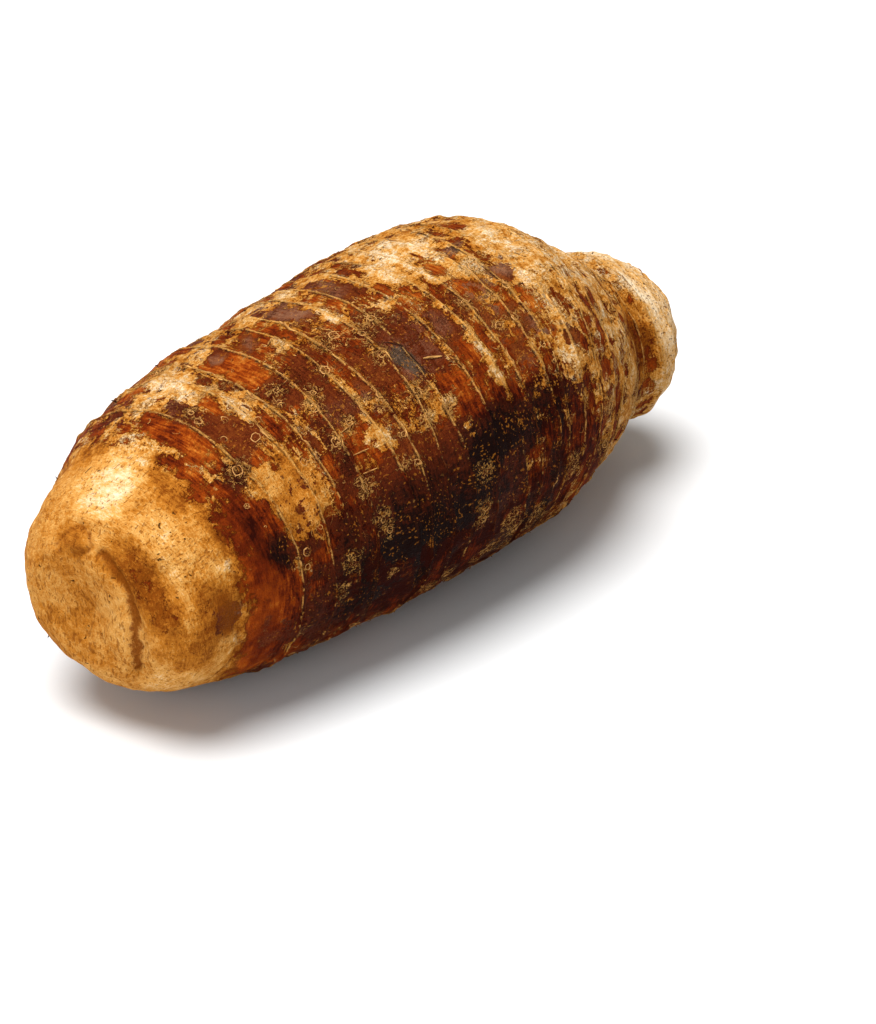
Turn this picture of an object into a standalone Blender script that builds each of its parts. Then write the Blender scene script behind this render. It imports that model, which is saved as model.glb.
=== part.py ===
"""Whole malanga corm, lying on its belly as it would on a table.

It is one grown piece: a barrel-shaped underground stem, ringed by the scars of its old leaves, with a healed,
lobed butt end and a domed crown behind a narrow neck.

Metres, +Z up.  +X runs from the butt to the crown, and the origin is under the middle of the corm.
"""

import math

import bmesh
import bpy
import numpy as np

MM = 0.001
OBJECT_NAME = "malanga"
NODE_NAME = "corm"

# Outline from the butt's middle to the crown's tip: place along the axis and radius, mm
OUTLINE = [
    (-115, 0), (-117.5, 12), (-117.5, 22.5), (-113, 28), (-90, 39.5), (-50, 47.5), (0, 51), (35, 51.5),
    (54, 49.5), (70, 42.5), (86, 35), (97, 28), (109.5, 28), (121.5, 19.5), (127, 11), (129, 0),
]
# Axis of the corm, bent as it grew: x, y and height, mm
AXIS = [(-118, -8, 41.5), (-60, -1, 46.5), (0, 0, 50), (40, 3, 50), (75, 3, 44), (104, 2, 42), (129, 0, 45)]
# Height of the section against its width
FLATNESS = 0.975
# The belly is worn flat this far up, mm
BELLY_FLAT = 1.5

# Leaf scars: place along the outline at the ring's own front, and how far the ring leans along the corm, mm
RINGS = [
    (70, 0.5), (83, 1), (91, 2.5), (101.5, 1), (113, 6), (120, 4), (130, 1.5), (137, 1.5), (147, 1.5),
    (157, 2), (164, 0.5), (173, 1), (179, 1), (187, 3), (197, 2), (207, 2), (218, 1.5), (229, 1), (240, 1),
    (250, 0.5), (258, 0.5), (266, 0.5), (273, 0), (280, 0),
]
RING_FRONT = math.radians(115)
RING_CREST = 0.45
RING_CREST_WIDTH = 1.3
BAND_STEP = 0.7
# Waves of a ring in mm on a radius of FULL_RADIUS, with their number round the corm
RING_WAVES = [(0.6, 3, 2.4), (0.4, 5, 1.7)]
FULL_RADIUS = 50
# Knobs between the rings: number round the corm, and height by place along the outline, mm
KNOBS_ROUND = 11
KNOB_HEIGHTS = [(60, 0), (80, 0.25), (180, 0.3), (205, 0.6), (235, 0.6), (248, 0)]
# The bare butt has no rings before this place, and its bands start to show over this length, mm
BARE_END = 58
BARE_FADE = 10

# Swellings and hollows: place along the outline in mm, turn in degrees, half length in mm, half turn in
# degrees and height in mm
SWELLINGS = {
    "hollow beside the butt": (27, 143, 8, 22, -2.4),
    "valley above the crease": (25, 114, 6, 18, -1.5),
    "crease, head": (17.5, 142, 3.6, 18, -1.2),
    "crease, upper part": (18.5, 170, 3.4, 18, -1.9),
    "crease, middle part": (20.5, 197, 3.4, 18, -2.2),
    "crease, foot": (23, 223, 3.6, 14, -2.7),
    "rim of the butt's face": (11, 205, 5, 50, 0.7),
    "near lobe": (35, 192, 8, 24, 2.1),
    "ridge on top": (33, 92, 6.5, 18, 1.7),
    "ridge down the flank": (38, 126, 6, 24, 0.8),
    "dip behind the ridge": (48, 112, 8, 15, -0.9),
    "fold by the rust": (48.5, 188, 3.5, 22, -0.8),
    "trimmed corner": (20, 250, 8, 22, -1.2),
    "under the face": (24, 288, 7, 16, -0.8),
    "corner, far side": (28, 335, 9, 24, 0.4),
    "waist beside the butt, far side": (50, 31, 10, 20, -1.9),
    "waist, far side": (78, 52, 9, 24, -0.5),
    "dent on the far shoulder": (119, 50, 8, 18, -2.0),
    "flat along the far top": (158, 50, 28, 20, -0.7),
    "flat on the top": (203, 76, 18, 24, -0.5),
    "lobe, under side": (40, 296, 9, 22, 0.8),
    "swelling, far side": (150, 345, 26, 30, 1.2),
    "dent, far side": (108, 8, 16, 18, -1.0),
    "bud scar, far side": (205, 20, 6, 9, 1.5),
    "bud scar, top": (193, 96, 3.5, 5, 0.9),
}
# The bud in the middle of the crown: half length along the outline and height, mm
BUD_SIZE = 5
BUD_HEIGHT = 2.2

SIDES_ROUND = 48
ROW_SPACING = 3.6
END_ROW_SPACING = 3.0

SKIN_COLOUR = (0.22, 0.095, 0.035, 1.0)
SKIN_ROUGHNESS = 0.72


def smooth_curve(places, values, wanted):
    """Cubic through the values, with each slope weighted by the lengths beside it."""
    places = np.asarray(places, float)
    values = np.asarray(values, float).reshape(len(places), -1)
    length = np.diff(places)[:, None]
    rise = np.diff(values, axis=0) / length
    slope = np.empty_like(values)
    slope[0] = rise[0]
    slope[-1] = rise[-1]
    slope[1:-1] = (rise[:-1] * length[1:] + rise[1:] * length[:-1]) / (length[1:] + length[:-1])
    span = np.clip(np.searchsorted(places, wanted) - 1, 0, len(places) - 2)
    t = ((wanted - places[span]) / length[span, 0])[:, None]
    step = length[span]
    return (
        (2 * t**3 - 3 * t**2 + 1) * values[span]
        + (t**3 - 2 * t**2 + t) * step * slope[span]
        + (3 * t**2 - 2 * t**3) * values[span + 1]
        + (t**3 - t**2) * step * slope[span + 1]
    )


def outline_places():
    """Distance of each outline point from the butt's middle, along straight steps."""
    steps = np.linalg.norm(np.diff(np.array(OUTLINE, float), axis=0), axis=1)
    return np.concatenate([[0.0], np.cumsum(steps)])


def ring_places():
    """Place of every leaf scar on its own front, with the two ends."""
    return np.array([0.0] + [place for place, _ in RINGS] + [outline_places()[-1]])


def ring_lines(turn):
    """Place of every leaf scar at these turns, with the two ends, as one line of places for each ring."""
    along = outline_places()
    lines = [np.zeros_like(turn)]
    for number, (place, lean) in enumerate(RINGS):
        radius = smooth_curve(along, OUTLINE, np.array([place]))[0, 1]
        wave = sum(size * np.sin(count * turn + phase * number) for size, count, phase in RING_WAVES)
        lines.append(place + lean * np.sin(turn - RING_FRONT) + wave * radius / FULL_RADIUS)
    lines.append(np.full_like(turn, along[-1]))
    return np.array(lines)


def row_places():
    """Rows of vertices: one on each ring, one close on either side of it, and even rows between."""
    rings = ring_places()
    rows = list(np.arange(END_ROW_SPACING, BARE_END, END_ROW_SPACING))
    for ring, following in zip(rings[1:-1], rings[2:]):
        first = ring + RING_CREST_WIDTH
        last = following - RING_CREST_WIDTH
        gaps = max(1, round((last - first) / ROW_SPACING))
        rows += [ring - RING_CREST_WIDTH, ring]
        rows += [first + (last - first) * step / gaps for step in range(gaps)]
    return np.array(rows)


def band_share(place):
    """The band that each place is in, up to and with its ring, and how far along it, from 0 to 1."""
    rings = ring_places()
    band = np.clip(np.searchsorted(rings, place) - 1, 0, len(rings) - 2)
    return band, (place - rings[band]) / (rings[band + 1] - rings[band])


def lean_with_rings(place, turn):
    """Places shifted so that a row that starts on a ring follows that ring all the way round."""
    lines = ring_lines(turn)
    band, share = band_share(place)
    column = np.arange(len(turn))
    return lines[band, column] * (1 - share) + lines[band + 1, column] * share


def ring_relief(place, turn):
    """Height of the leaf scars: each band swells towards its ring, ends in a crest and steps down."""
    band, share = band_share(place)
    to_ring = np.abs(place[:, None] - ring_places()[1:-1]).min(axis=1)
    strength = 0.85 + 0.3 * np.sin(2 * turn + 1.3 * band)
    crest = RING_CREST * np.exp(-((to_ring / RING_CREST_WIDTH) ** 2))
    swell = BAND_STEP * (share - 0.5)
    knob_height = np.interp(place, *zip(*KNOB_HEIGHTS))
    knobs = knob_height * np.sin(KNOBS_ROUND * turn + 2.1 * band) * np.sin(math.pi * share)
    start = np.clip((place - BARE_END) / BARE_FADE, 0, 1)
    finish = np.clip((outline_places()[-1] - place) / BARE_FADE, 0, 1)
    return (strength * (crest + swell) + knobs) * start * finish


def swelling_relief(place, turn):
    """Height of the lobes, hollows and creases, and of the bud."""
    height = np.zeros_like(place)
    for middle, middle_turn, length, width, rise in SWELLINGS.values():
        around = (np.degrees(turn) - middle_turn + 180) % 360 - 180
        height += rise * np.exp(-(((place - middle) / length) ** 2) - (around / width) ** 2)
    to_tip = outline_places()[-1] - place
    return height + BUD_HEIGHT * np.exp(-((to_tip / BUD_SIZE) ** 2))


def surface_points(place, turn):
    """Points of the corm's skin in mm, from a place along the outline and a turn round the axis."""
    along = outline_places()
    shifted = lean_with_rings(place, turn)
    here = smooth_curve(along, OUTLINE, shifted)
    ahead = smooth_curve(along, OUTLINE, np.minimum(shifted + 0.2, along[-1]))
    behind = smooth_curve(along, OUTLINE, np.maximum(shifted - 0.2, 0))
    run = ahead - behind
    run /= np.linalg.norm(run, axis=1, keepdims=True)

    axis = np.array(AXIS, float)
    x, radius = here[:, 0], np.maximum(here[:, 1], 0)
    centre = smooth_curve(axis[:, 0], axis[:, 1:], x)
    bend = smooth_curve(axis[:, 0], axis[:, 1:], x + 0.5) - smooth_curve(axis[:, 0], axis[:, 1:], x - 0.5)
    forward = np.column_stack([np.ones_like(x), bend])
    forward /= np.linalg.norm(forward, axis=1, keepdims=True)
    side = np.cross((0.0, 0.0, 1.0), forward)
    side /= np.linalg.norm(side, axis=1, keepdims=True)
    up = np.cross(forward, side)
    outward = np.cos(turn)[:, None] * side + FLATNESS * np.sin(turn)[:, None] * up

    relief = ring_relief(place, turn) + swelling_relief(place, turn)
    normal = run[:, :1] * outward - run[:, 1:] * forward
    return np.column_stack([x, centre]) + radius[:, None] * outward + relief[:, None] * normal


def settle(points):
    """Press the belly flat, and put the origin under the middle of the box."""
    floor = points[:, 2].min() + BELLY_FLAT
    points[:, 2] = np.maximum(points[:, 2] - floor, 0)
    points[:, :2] -= (points[:, :2].min(axis=0) + points[:, :2].max(axis=0)) / 2
    return points


def shape_sphere(sphere, rows):
    """Move each vertex of the sphere to its row along the corm and its turn round it."""
    directions = np.array([vertex.co.normalized()[:] for vertex in sphere.verts])
    down = np.arccos(np.clip(-directions[:, 2], -1, 1)) / math.pi * (len(rows) - 1)
    place = rows[np.rint(down).astype(int)]
    turn = np.arctan2(directions[:, 1], directions[:, 0])
    points = settle(surface_points(place, turn)) * MM
    for vertex, point in zip(sphere.verts, points):
        vertex.co = point


def skin_material():
    material = bpy.data.materials.new("corm_skin")
    material.use_nodes = True
    shader = material.node_tree.nodes["Principled BSDF"]
    shader.inputs["Base Color"].default_value = SKIN_COLOUR
    shader.inputs["Roughness"].default_value = SKIN_ROUGHNESS
    shader.inputs["Metallic"].default_value = 0.0
    return material


def build_corm(collection):
    rows = np.concatenate([[0.0], row_places(), [outline_places()[-1]]])
    sphere = bmesh.new()
    bmesh.ops.create_uvsphere(sphere, u_segments=SIDES_ROUND, v_segments=len(rows) - 1, radius=1)
    shape_sphere(sphere, rows)
    bmesh.ops.triangulate(sphere, faces=sphere.faces)
    bmesh.ops.recalc_face_normals(sphere, faces=sphere.faces)
    mesh = bpy.data.meshes.new(NODE_NAME)
    sphere.to_mesh(mesh)
    sphere.free()
    mesh.shade_smooth()
    mesh.materials.append(skin_material())
    collection.objects.link(bpy.data.objects.new(NODE_NAME, mesh))


def main():
    for old in list(bpy.data.objects):
        bpy.data.objects.remove(old, do_unlink=True)
    collection = bpy.data.collections.new(OBJECT_NAME)
    bpy.context.scene.collection.children.link(collection)
    build_corm(collection)


if __name__ == "__main__":
    main()
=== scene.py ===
"""Looks of a whole malanga corm: its skin, leaf-scar fibres, root scars and hairs, and a white studio."""

import math
import random

import bpy
import numpy as np
from bpy.props import FloatProperty, FloatVectorProperty, IntProperty, PointerProperty
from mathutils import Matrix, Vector, kdtree, noise


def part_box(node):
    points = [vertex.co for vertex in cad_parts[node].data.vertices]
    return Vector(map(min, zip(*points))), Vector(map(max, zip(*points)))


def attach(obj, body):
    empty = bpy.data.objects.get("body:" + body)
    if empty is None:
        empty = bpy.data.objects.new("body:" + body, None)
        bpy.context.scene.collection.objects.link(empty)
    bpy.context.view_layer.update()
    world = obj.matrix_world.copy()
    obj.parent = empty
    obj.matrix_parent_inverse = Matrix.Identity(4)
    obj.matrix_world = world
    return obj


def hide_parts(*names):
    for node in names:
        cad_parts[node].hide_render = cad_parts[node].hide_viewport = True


bl_info = {
    "name": "Malanga Corm",
    "version": (1, 0, 0),
    "blender": (4, 5, 0),
    "location": "View3D > Sidebar > Malanga",
    "description": "Finishes a malanga corm with its skin, fibres and root scars, on a white studio floor",
    "category": "Add Mesh",
}

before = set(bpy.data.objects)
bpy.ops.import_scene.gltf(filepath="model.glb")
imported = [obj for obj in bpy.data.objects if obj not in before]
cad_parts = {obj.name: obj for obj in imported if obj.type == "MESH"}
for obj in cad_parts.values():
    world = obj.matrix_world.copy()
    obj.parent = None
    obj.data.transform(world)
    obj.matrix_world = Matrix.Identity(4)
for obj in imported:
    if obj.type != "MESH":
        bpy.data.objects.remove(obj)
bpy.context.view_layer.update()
LOWEST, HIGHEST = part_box("corm")

MM = 0.001
BODY = "root"
NODE = "corm"

# The form of the corm, as the solid has it, in mm
OUTLINE = [
    (-115, 0), (-117.5, 12), (-117.5, 22.5), (-113, 28), (-90, 39.5), (-50, 47.5), (0, 51), (35, 51.5),
    (54, 49.5), (70, 42.5), (86, 35), (97, 28), (109.5, 28), (121.5, 19.5), (127, 11), (129, 0),
]
AXIS = [(-118, -8, 41.5), (-60, -1, 46.5), (0, 0, 50), (40, 3, 50), (75, 3, 44), (104, 2, 42), (129, 0, 45)]
FLATNESS = 0.975
RINGS = [
    (70, 0.5), (83, 1), (91, 2.5), (101.5, 1), (113, 6), (120, 4), (130, 1.5), (137, 1.5), (147, 1.5),
    (157, 2), (164, 0.5), (173, 1), (179, 1), (187, 3), (197, 2), (207, 2), (218, 1.5), (229, 1), (240, 1),
    (250, 0.5), (258, 0.5), (266, 0.5), (273, 0), (280, 0),
]
RING_FRONT = math.radians(115)
RING_CREST = 0.45
RING_CREST_WIDTH = 1.3
BAND_STEP = 0.7
RING_WAVES = [(0.6, 3, 2.4), (0.4, 5, 1.7)]
FULL_RADIUS = 50
KNOBS_ROUND = 11
KNOB_HEIGHTS = [(60, 0), (80, 0.25), (180, 0.3), (205, 0.6), (235, 0.6), (248, 0)]
BARE_END = 58
BARE_FADE = 10
# Place along the outline in mm, turn in degrees, half length in mm, half turn in degrees and height in mm
SWELLINGS = {
    "hollow beside the butt": (27, 143, 8, 22, -2.4),
    "valley above the crease": (25, 114, 6, 18, -1.5),
    "crease, head": (17.5, 142, 3.6, 18, -1.2),
    "crease, upper part": (18.5, 170, 3.4, 18, -1.9),
    "crease, middle part": (20.5, 197, 3.4, 18, -2.2),
    "crease, foot": (23, 223, 3.6, 14, -2.7),
    "rim of the butt's face": (11, 205, 5, 50, 0.7),
    "near lobe": (35, 192, 8, 24, 2.1),
    "ridge on top": (33, 92, 6.5, 18, 1.7),
    "ridge down the flank": (38, 126, 6, 24, 0.8),
    "dip behind the ridge": (48, 112, 8, 15, -0.9),
    "fold by the rust": (48.5, 188, 3.5, 22, -0.8),
    "trimmed corner": (20, 250, 8, 22, -1.2),
    "under the face": (24, 288, 7, 16, -0.8),
    "corner, far side": (28, 335, 9, 24, 0.4),
    "waist beside the butt, far side": (50, 31, 10, 20, -1.9),
    "waist, far side": (78, 52, 9, 24, -0.5),
    "dent on the far shoulder": (119, 50, 8, 18, -2.0),
    "flat along the far top": (158, 50, 28, 20, -0.7),
    "flat on the top": (203, 76, 18, 24, -0.5),
    "lobe, under side": (40, 296, 9, 22, 0.8),
    "swelling, far side": (150, 345, 26, 30, 1.2),
    "dent, far side": (108, 8, 16, 18, -1.0),
    "bud scar, far side": (205, 20, 6, 9, 1.5),
    "bud scar, top": (193, 96, 3.5, 5, 0.9),
}
BUD_SIZE = 5
BUD_HEIGHT = 2.2

# Rows of the fine skin: distances from each ring, and the gap between rows elsewhere, in mm
ROWS_AT_RING = (-0.9, -0.35, 0.35, 0.9)
ROW_GAP = 1.6
BUTT_ROW_GAP = 1.1
SKIN_SIDES = 336

# Patches of the skin, each with its place in mm, turn in degrees, half length in mm, half turn in degrees
# and strength.  Cork is the dry tan cover: where it is thin the rusty rind shows.  Plates are what is left of
# the leaf bases, a smooth dark film.
# The two patches at about 25 mm, turns 112 and 146 degrees, lower the cork in the butt's hollows: painted
# shade as well as brown
CORK_PATCHES = [
    (45, 89, 13, 12, 0.65), (36, 92, 5, 8, 0.1), (7, 180, 13, 400, -0.1), (26, 146, 7, 30, -0.85),
    (25, 112, 5, 12, -0.3), (24, 78, 4.5, 13, -0.5), (37, 130, 4, 28, 0.1), (33, 182, 8, 20, -0.3),
    (33, 222, 9, 16, 0.2), (36, 190, 6, 14, -0.3), (43, 170, 7, 15, -0.5), (52, 112, 5, 13, -0.35),
    (46, 130, 5, 20, -0.1), (40, 50, 12, 12, -0.05), (17, 60, 6, 16, -0.15), (14, 200, 5, 25, 0.2),
    (64.5, 99, 3.2, 20, -0.45), (58, 158, 7.5, 30, -1.0), (56, 205, 7, 22, -0.9), (78, 144.5, 9, 14.5, 0.4),
    (71, 187, 5, 17, 0.2), (84.3, 101, 2.0, 17, 0.6), (80, 83, 8, 9, 0.35), (110.5, 95.3, 2.8, 3.3, 0.7),
    (129.3, 92, 1.4, 9, 0.6), (133, 80, 1.2, 14, 0.3), (155, 88, 2.4, 8, 0.6), (156.5, 108, 1.4, 10, 0.35),
    (163, 92, 1.8, 13, 0.45), (172, 91, 2.2, 5, 0.6), (168, 82, 9, 8, 0.5), (157, 132, 1.8, 19, 0.45),
    (114.8, 143.5, 3.8, 4.6, 0.75), (131, 146, 3.6, 3, 0.65), (122, 144, 3, 3, 0.35),
    (141, 156, 1.8, 2.6, 0.8), (140, 143.5, 3, 1.5, 0.5), (175, 108, 4, 4, 0.5), (170, 131, 8, 2, 0.35),
    (180, 152, 14, 6, 0.2), (188, 108, 5, 24, 0.25), (113.6, 127, 1.2, 12, 0.4), (91, 70, 30, 8, 0.4),
    (150, 68, 30, 9, 0.3), (118, 186, 34, 30, -0.4), (66.5, 140, 2.5, 4, -0.3), (75, 112, 6, 9, -0.4),
    (96, 95, 4, 12, -0.15), (248, 154, 9, 25, -0.45), (259.5, 121, 3.4, 13, 0.35),
    (246, 112, 7, 16, -0.15), (207, 133, 2.5, 3, -0.5), (145, 92, 35, 12, 0.12), (208, 102, 16, 30, 0.18),
]
PLATE_PATCHES = [
    (66, 46, 9, 14, -1.2), (52, 100, 12, 25, -0.6), (90, 62, 14, 8, -0.5),
    (73.5, 93, 3.4, 10, 1.2), (77, 112.5, 5.2, 9.5, 1.3), (66.8, 126, 4.9, 5.5, 1.3), (96, 82, 3, 3.2, 1.2),
    (105.4, 85, 2.8, 4.6, 1.4), (97.2, 111, 4.2, 5.8, 1.1), (107.3, 112, 4.6, 7.8, 1.1),
    (108.7, 127.3, 5.2, 6.3, 1.2), (99.3, 131, 2, 4.5, 1.2), (99.9, 145, 2.6, 8, 1.1),
    (119.5, 124, 3.6, 13, 0.5), (123, 84, 5, 14, 0.8), (140, 82, 4.2, 10, 1.2), (138.5, 118.5, 7.2, 15, 1.1),
    (152, 121, 4.3, 8, 1.0), (126, 124, 3.6, 9, 0.6), (168, 137, 4.2, 15, 0.55), (180, 113, 5.5, 5, 0.9),
    (179.5, 137, 5.3, 5, 0.9), (179.5, 97, 4, 3, 0.7), (64.4, 159, 1.3, 7, 1.4), (67.4, 161, 1.1, 6.5, 1.2),
    (75.5, 164, 5.5, 3.2, 0.9), (77.8, 176.5, 2.3, 3.5, 1.1), (45, 177, 5.8, 10.5, 2.3),
    (160, 165, 18, 10, 0.45), (96, 172, 6.5, 9, 0.6), (109, 163, 6, 9, 0.9), (113, 180, 10, 9, 0.8),
    (124, 160, 5, 13, 1.0), (132, 157, 5, 9, 1.0), (141, 161, 5, 9, 1.0), (150, 163, 5, 10, 0.8),
    (130, 178, 14, 10, 0.7), (150, 182, 10, 12, 0.6), (193.5, 97, 1.6, 5, 0.9), (189.5, 144, 3.5, 4.5, 1.3),
    (164, 158, 8, 4, 0.5), (185, 160, 8, 5, 0.4), (64.5, 99, 4, 22, -1.0), (96, 95, 4.4, 8, -1.0),
    (151, 105, 3.6, 5, -0.9), (58, 152, 7, 24, -0.9), (107, 144, 4, 5, -0.8), (88, 128, 4, 9, -0.4),
    (170, 114, 4.5, 7, 0.7), (176, 129, 3.6, 5, 0.7), (161, 118, 3, 6, 0.5), (186, 112, 3, 4, 0.6),
]
# Dark patches low on the front's flank, turns about 160 to 210 degrees, hold painted shade of that side as
# well as dark film
DARK_PATCHES = [
    (73.5, 93, 3.4, 11, 0.5), (77, 112.5, 5.2, 9.5, 0.2), (66.8, 126, 5, 6, 0.9), (97.2, 111, 4.4, 6, 0.5),
    (107.3, 112, 5, 8, 0.4), (108.7, 127, 5.2, 6.3, 0.4), (99.3, 131, 2.4, 5, 0.9), (99.9, 145, 3, 8, 0.9),
    (138.5, 124, 7.2, 15, 0.35), (65.8, 161, 3.4, 9, 1.1), (75.5, 164, 5.5, 3.4, 0.7),
    (77.8, 176.5, 2.6, 4, 0.7), (120, 174, 30, 18, 1.0), (135, 205, 50, 24, 0.8), (104, 194, 24, 16, 0.6),
    (150, 160, 9, 11, 0.9), (193.5, 97, 2, 6, 0.6), (64.5, 99, 3.6, 20, -0.5), (96, 95, 4.5, 9, -0.3),
    (152, 105, 3.5, 4, -0.5), (172, 162, 14, 12, 0.7), (57, 162, 7, 26, 0.1), (90, 165, 4, 12, 0.4),
    (72, 205, 12, 16, 0.1), (135, 125, 20, 25, 0.15), (44, 182, 6, 12, 0.95), (177, 122, 14, 26, -0.45),
    (189.5, 144, 4, 5, -0.3), (56, 198, 8, 34, -0.55), (160, 168, 24, 16, 0.5),
]
# Grey patches: the films' own grey coat, and painted sheen on the smooth plates
GREY_AND_SHEEN_PATCHES = [
    (138.5, 118.5, 7.2, 15, 0.9), (152, 121, 4.3, 8, 0.9), (73.5, 90, 3.4, 8, 0.6), (123, 80, 5, 10, 0.7),
    (140, 82, 4.4, 10, 0.9), (96, 82, 3, 3.2, 0.9), (105.4, 85, 2.8, 4.6, 0.8), (179.5, 98, 5, 4, 0.9),
    (108.7, 127.3, 5, 6, 0.4), (44, 181, 6, 12, 0.9), (179.5, 137, 5.5, 5, 0.8), (180, 113, 6, 5, 0.6),
    (97, 111, 5, 6, 0.4), (168, 137, 4, 15, 0.3), (135, 125.5, 4.4, 9.5, 1.1), (175, 120, 12, 20, 0.3),
]
SMOOTH_PATCHES = [
    (78, 144.5, 9, 14.5, 0.9), (247, 152, 10, 28, 0.9), (58, 158, 6, 28, 0.7), (56, 205, 6, 22, 0.7),
]
# Folds and stains of the butt: half width and height in mm, how brown each is (in the sunken folds this is
# painted shade of the crease), and the line that it follows, as places in mm and turns in degrees
FOLDS = [
    (1.5, -1.3, 1.0, [(24, 104), (21, 118), (19, 132), (17, 153), (15.6, 180), (17, 206), (21, 228)]),
    (2.6, 0.6, 0.0, [(18.5, 142), (19.5, 170), (21.5, 197), (24, 223)]),
    (3.4, -0.1, 0.85, [(43.5, 168), (45.5, 177), (44, 185)]),
    (0.7, -0.5, 0.5, [(17.6, 170), (17.0, 185), (18.2, 200), (20.4, 215), (23.5, 230), (26, 242)]),
    (0.7, -0.5, 0.8, [(51.5, 140), (50, 150), (49.8, 160), (50.4, 167), (48, 174), (47.4, 181), (48.4, 192),
                      (49.2, 203), (47.5, 214), (45, 226)]),
    (0.9, -0.6, 0.65, [(23, 62), (24.6, 67), (26.6, 74), (28.6, 83), (27.4, 90), (24.5, 96), (21, 90),
                       (20, 79)]),
    (1.1, 0.55, 0.0, [(30, 70), (32, 80), (31, 90), (33, 100), (33.5, 112), (33.5, 124), (34.5, 138)]),
    (0.8, 0.35, 0.0, [(50.5, 150), (52, 166), (49.6, 176), (50, 192), (51, 203)]),
    (0.6, -0.35, 0.45, [(30, 172), (29.5, 182), (31, 192), (30, 204)]),
]
FOLDS_END = 60
# Smooth plate: its crack as a strand of painted shade: places in mm and turns in degrees, with its radius in
# mm
CRACK = [(132.6, 115), (134.6, 116.5), (136.2, 119.5), (137.3, 123.5), (137.8, 129), (138.1, 136)]
CRACK_POINTS = 24
CRACK_RADIUS = 0.3
# Loose chips that lie on the skin: place in mm and turn in degrees of both ends, and radius in mm
CHIPS = [
    ((140.0, 127.0), (144.6, 129.6), 0.38), ((85.0, 193.5), (87.2, 197.5), 0.4),
    ((107.2, 93.0), (109.6, 91.8), 0.3), ((103.6, 144.0), (109.4, 144.6), 0.2),
    ((103.8, 151.2), (109.0, 151.8), 0.2), ((104.0, 135.2), (110.0, 134.6), 0.2),
]
# Dry stubs of roots that stand off the skin: place in mm, turn in degrees, height and radius in mm
STUBS = [
    (79, 46, 2.2, 0.25), (70, 38, 1.0, 0.25), (55, 28, 1.0, 0.22), (96, 47, 1.0, 0.22), (101, 49, 0.9, 0.2),
    (44, 330, 0.8, 0.22), (27, 318, 0.9, 0.2), (60, 300, 1.2, 0.25), (118, 52, 0.9, 0.2), (126, 56, 1.0, 0.2),
    (150, 50, 0.8, 0.22), (176, 56, 0.9, 0.2), (208, 84, 0.9, 0.22), (236, 90, 1.0, 0.2), (262, 80, 0.9, 0.2),
    (90, 10, 1.5, 0.25), (131, 352, 1.6, 0.25), (164, 330, 1.4, 0.25), (188, 18, 1.5, 0.25),
    (210, 300, 1.4, 0.25), (146, 20, 1.5, 0.22), (172, 190, 1.5, 0.25), (112, 215, 1.2, 0.22),
    (226, 200, 1.4, 0.22), (240, 340, 1.3, 0.25),
]

# Root scars seen from the front: place in mm, turn in degrees, radius in mm and how many strands each has
FRONT_SCARS = [
    (76.7, 87.5, 1.3, 0), (80.6, 92.2, 0.9, 2), (85.8, 92.2, 1.0, 3), (84.5, 95.4, 0.7, 0),
    (73.8, 94.6, 0.9, 3), (72.5, 99.8, 1.2, 2), (84.7, 101, 1.1, 0), (77.7, 106.5, 1.2, 1),
    (84.4, 108, 1.8, 0), (89.3, 105.5, 0.8, 2), (72.5, 112.1, 1.0, 0), (84.7, 114.7, 1.2, 0),
    (79.7, 119.4, 1.3, 0), (110.4, 92.6, 1.2, 1), (112, 95.4, 0.9, 2), (108.4, 97.1, 0.9, 3),
    (118.9, 104.9, 0.9, 5), (124, 103.8, 1.5, 6), (113.1, 113.5, 1.4, 3), (96.5, 110, 0.9, 5),
    (94.4, 114, 0.8, 4), (101.7, 123.3, 1.3, 5), (137, 105.3, 1.4, 7), (130.7, 108.8, 1.1, 6),
    (130.2, 119, 1.1, 6), (176, 108, 1.5, 7), (163.5, 118.2, 1.1, 4), (172.7, 121.3, 1.0, 3),
    (178.6, 120, 1.5, 2), (184.4, 125, 1.2, 2), (100.3, 137, 1.3, 5), (132, 136, 1.2, 6),
    (114.1, 143, 0.8, 0), (130.8, 144.7, 1.0, 6), (138.9, 144.7, 1.0, 5), (177.4, 143, 1.0, 2),
    (167.6, 130.4, 1.1, 3), (173.9, 130.9, 1.1, 3), (118.2, 155, 1.0, 3), (102.6, 155.4, 1.2, 5),
    (122.2, 156.7, 0.9, 3), (182.5, 155.4, 1.1, 1), (179, 150, 0.9, 1), (173.3, 153.3, 0.9, 2),
    (87.1, 136.9, 1.2, 1), (74.5, 166.2, 1.3, 0), (63.3, 137.8, 0.8, 0), (108, 134, 0.9, 5),
    (105, 118, 0.8, 5), (121.6, 146, 0.8, 2), (120, 133, 0.9, 5), (115, 128, 0.6, 3), (68, 125, 1.5, 6),
]
# Root scars on the other sides: how many, the places in mm and turns in degrees that they keep between, and
# the numbers of strands they have
BACK_SCARS = 120
SCARRED_PLACES = (68, 245)
BACK_TURNS = (168, 420)
BACK_STRANDS = (0, 0, 1, 3, 6, 8, 9)
SCAR_SEED = 41
# Section of a scar: share of its radius, height in mm and how much rim there is
SCAR_PROFILE = [(1.08, -0.2, 0.4), (1.0, 0.14, 0.85), (0.88, 0.1, 0.65), (0.78, -0.06, 0.25)]
SCAR_SIDES = 14
# Loose hairs: the places in mm that they keep between
HAIRY_PLACES = (64, 246)
STRAND_SEED = 7
# Fibres on the leaf scars: step between points in mm, fewest points, and the noise above which they show
FIBRE_STEP = 0.9
FEWEST_POINTS = 4
FIBRE_SHOWN = 0.14

# Noise: strength and fineness of each octave beside the one before, and what brings it to about -1 to 1
OCTAVE_STRENGTH = 0.7
OCTAVE_FINENESS = 2.1
NOISE_GAIN = 1.6
# Reach in mm of the distance to the next ring that the skin stores
RING_REACH = 4.0


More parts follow.
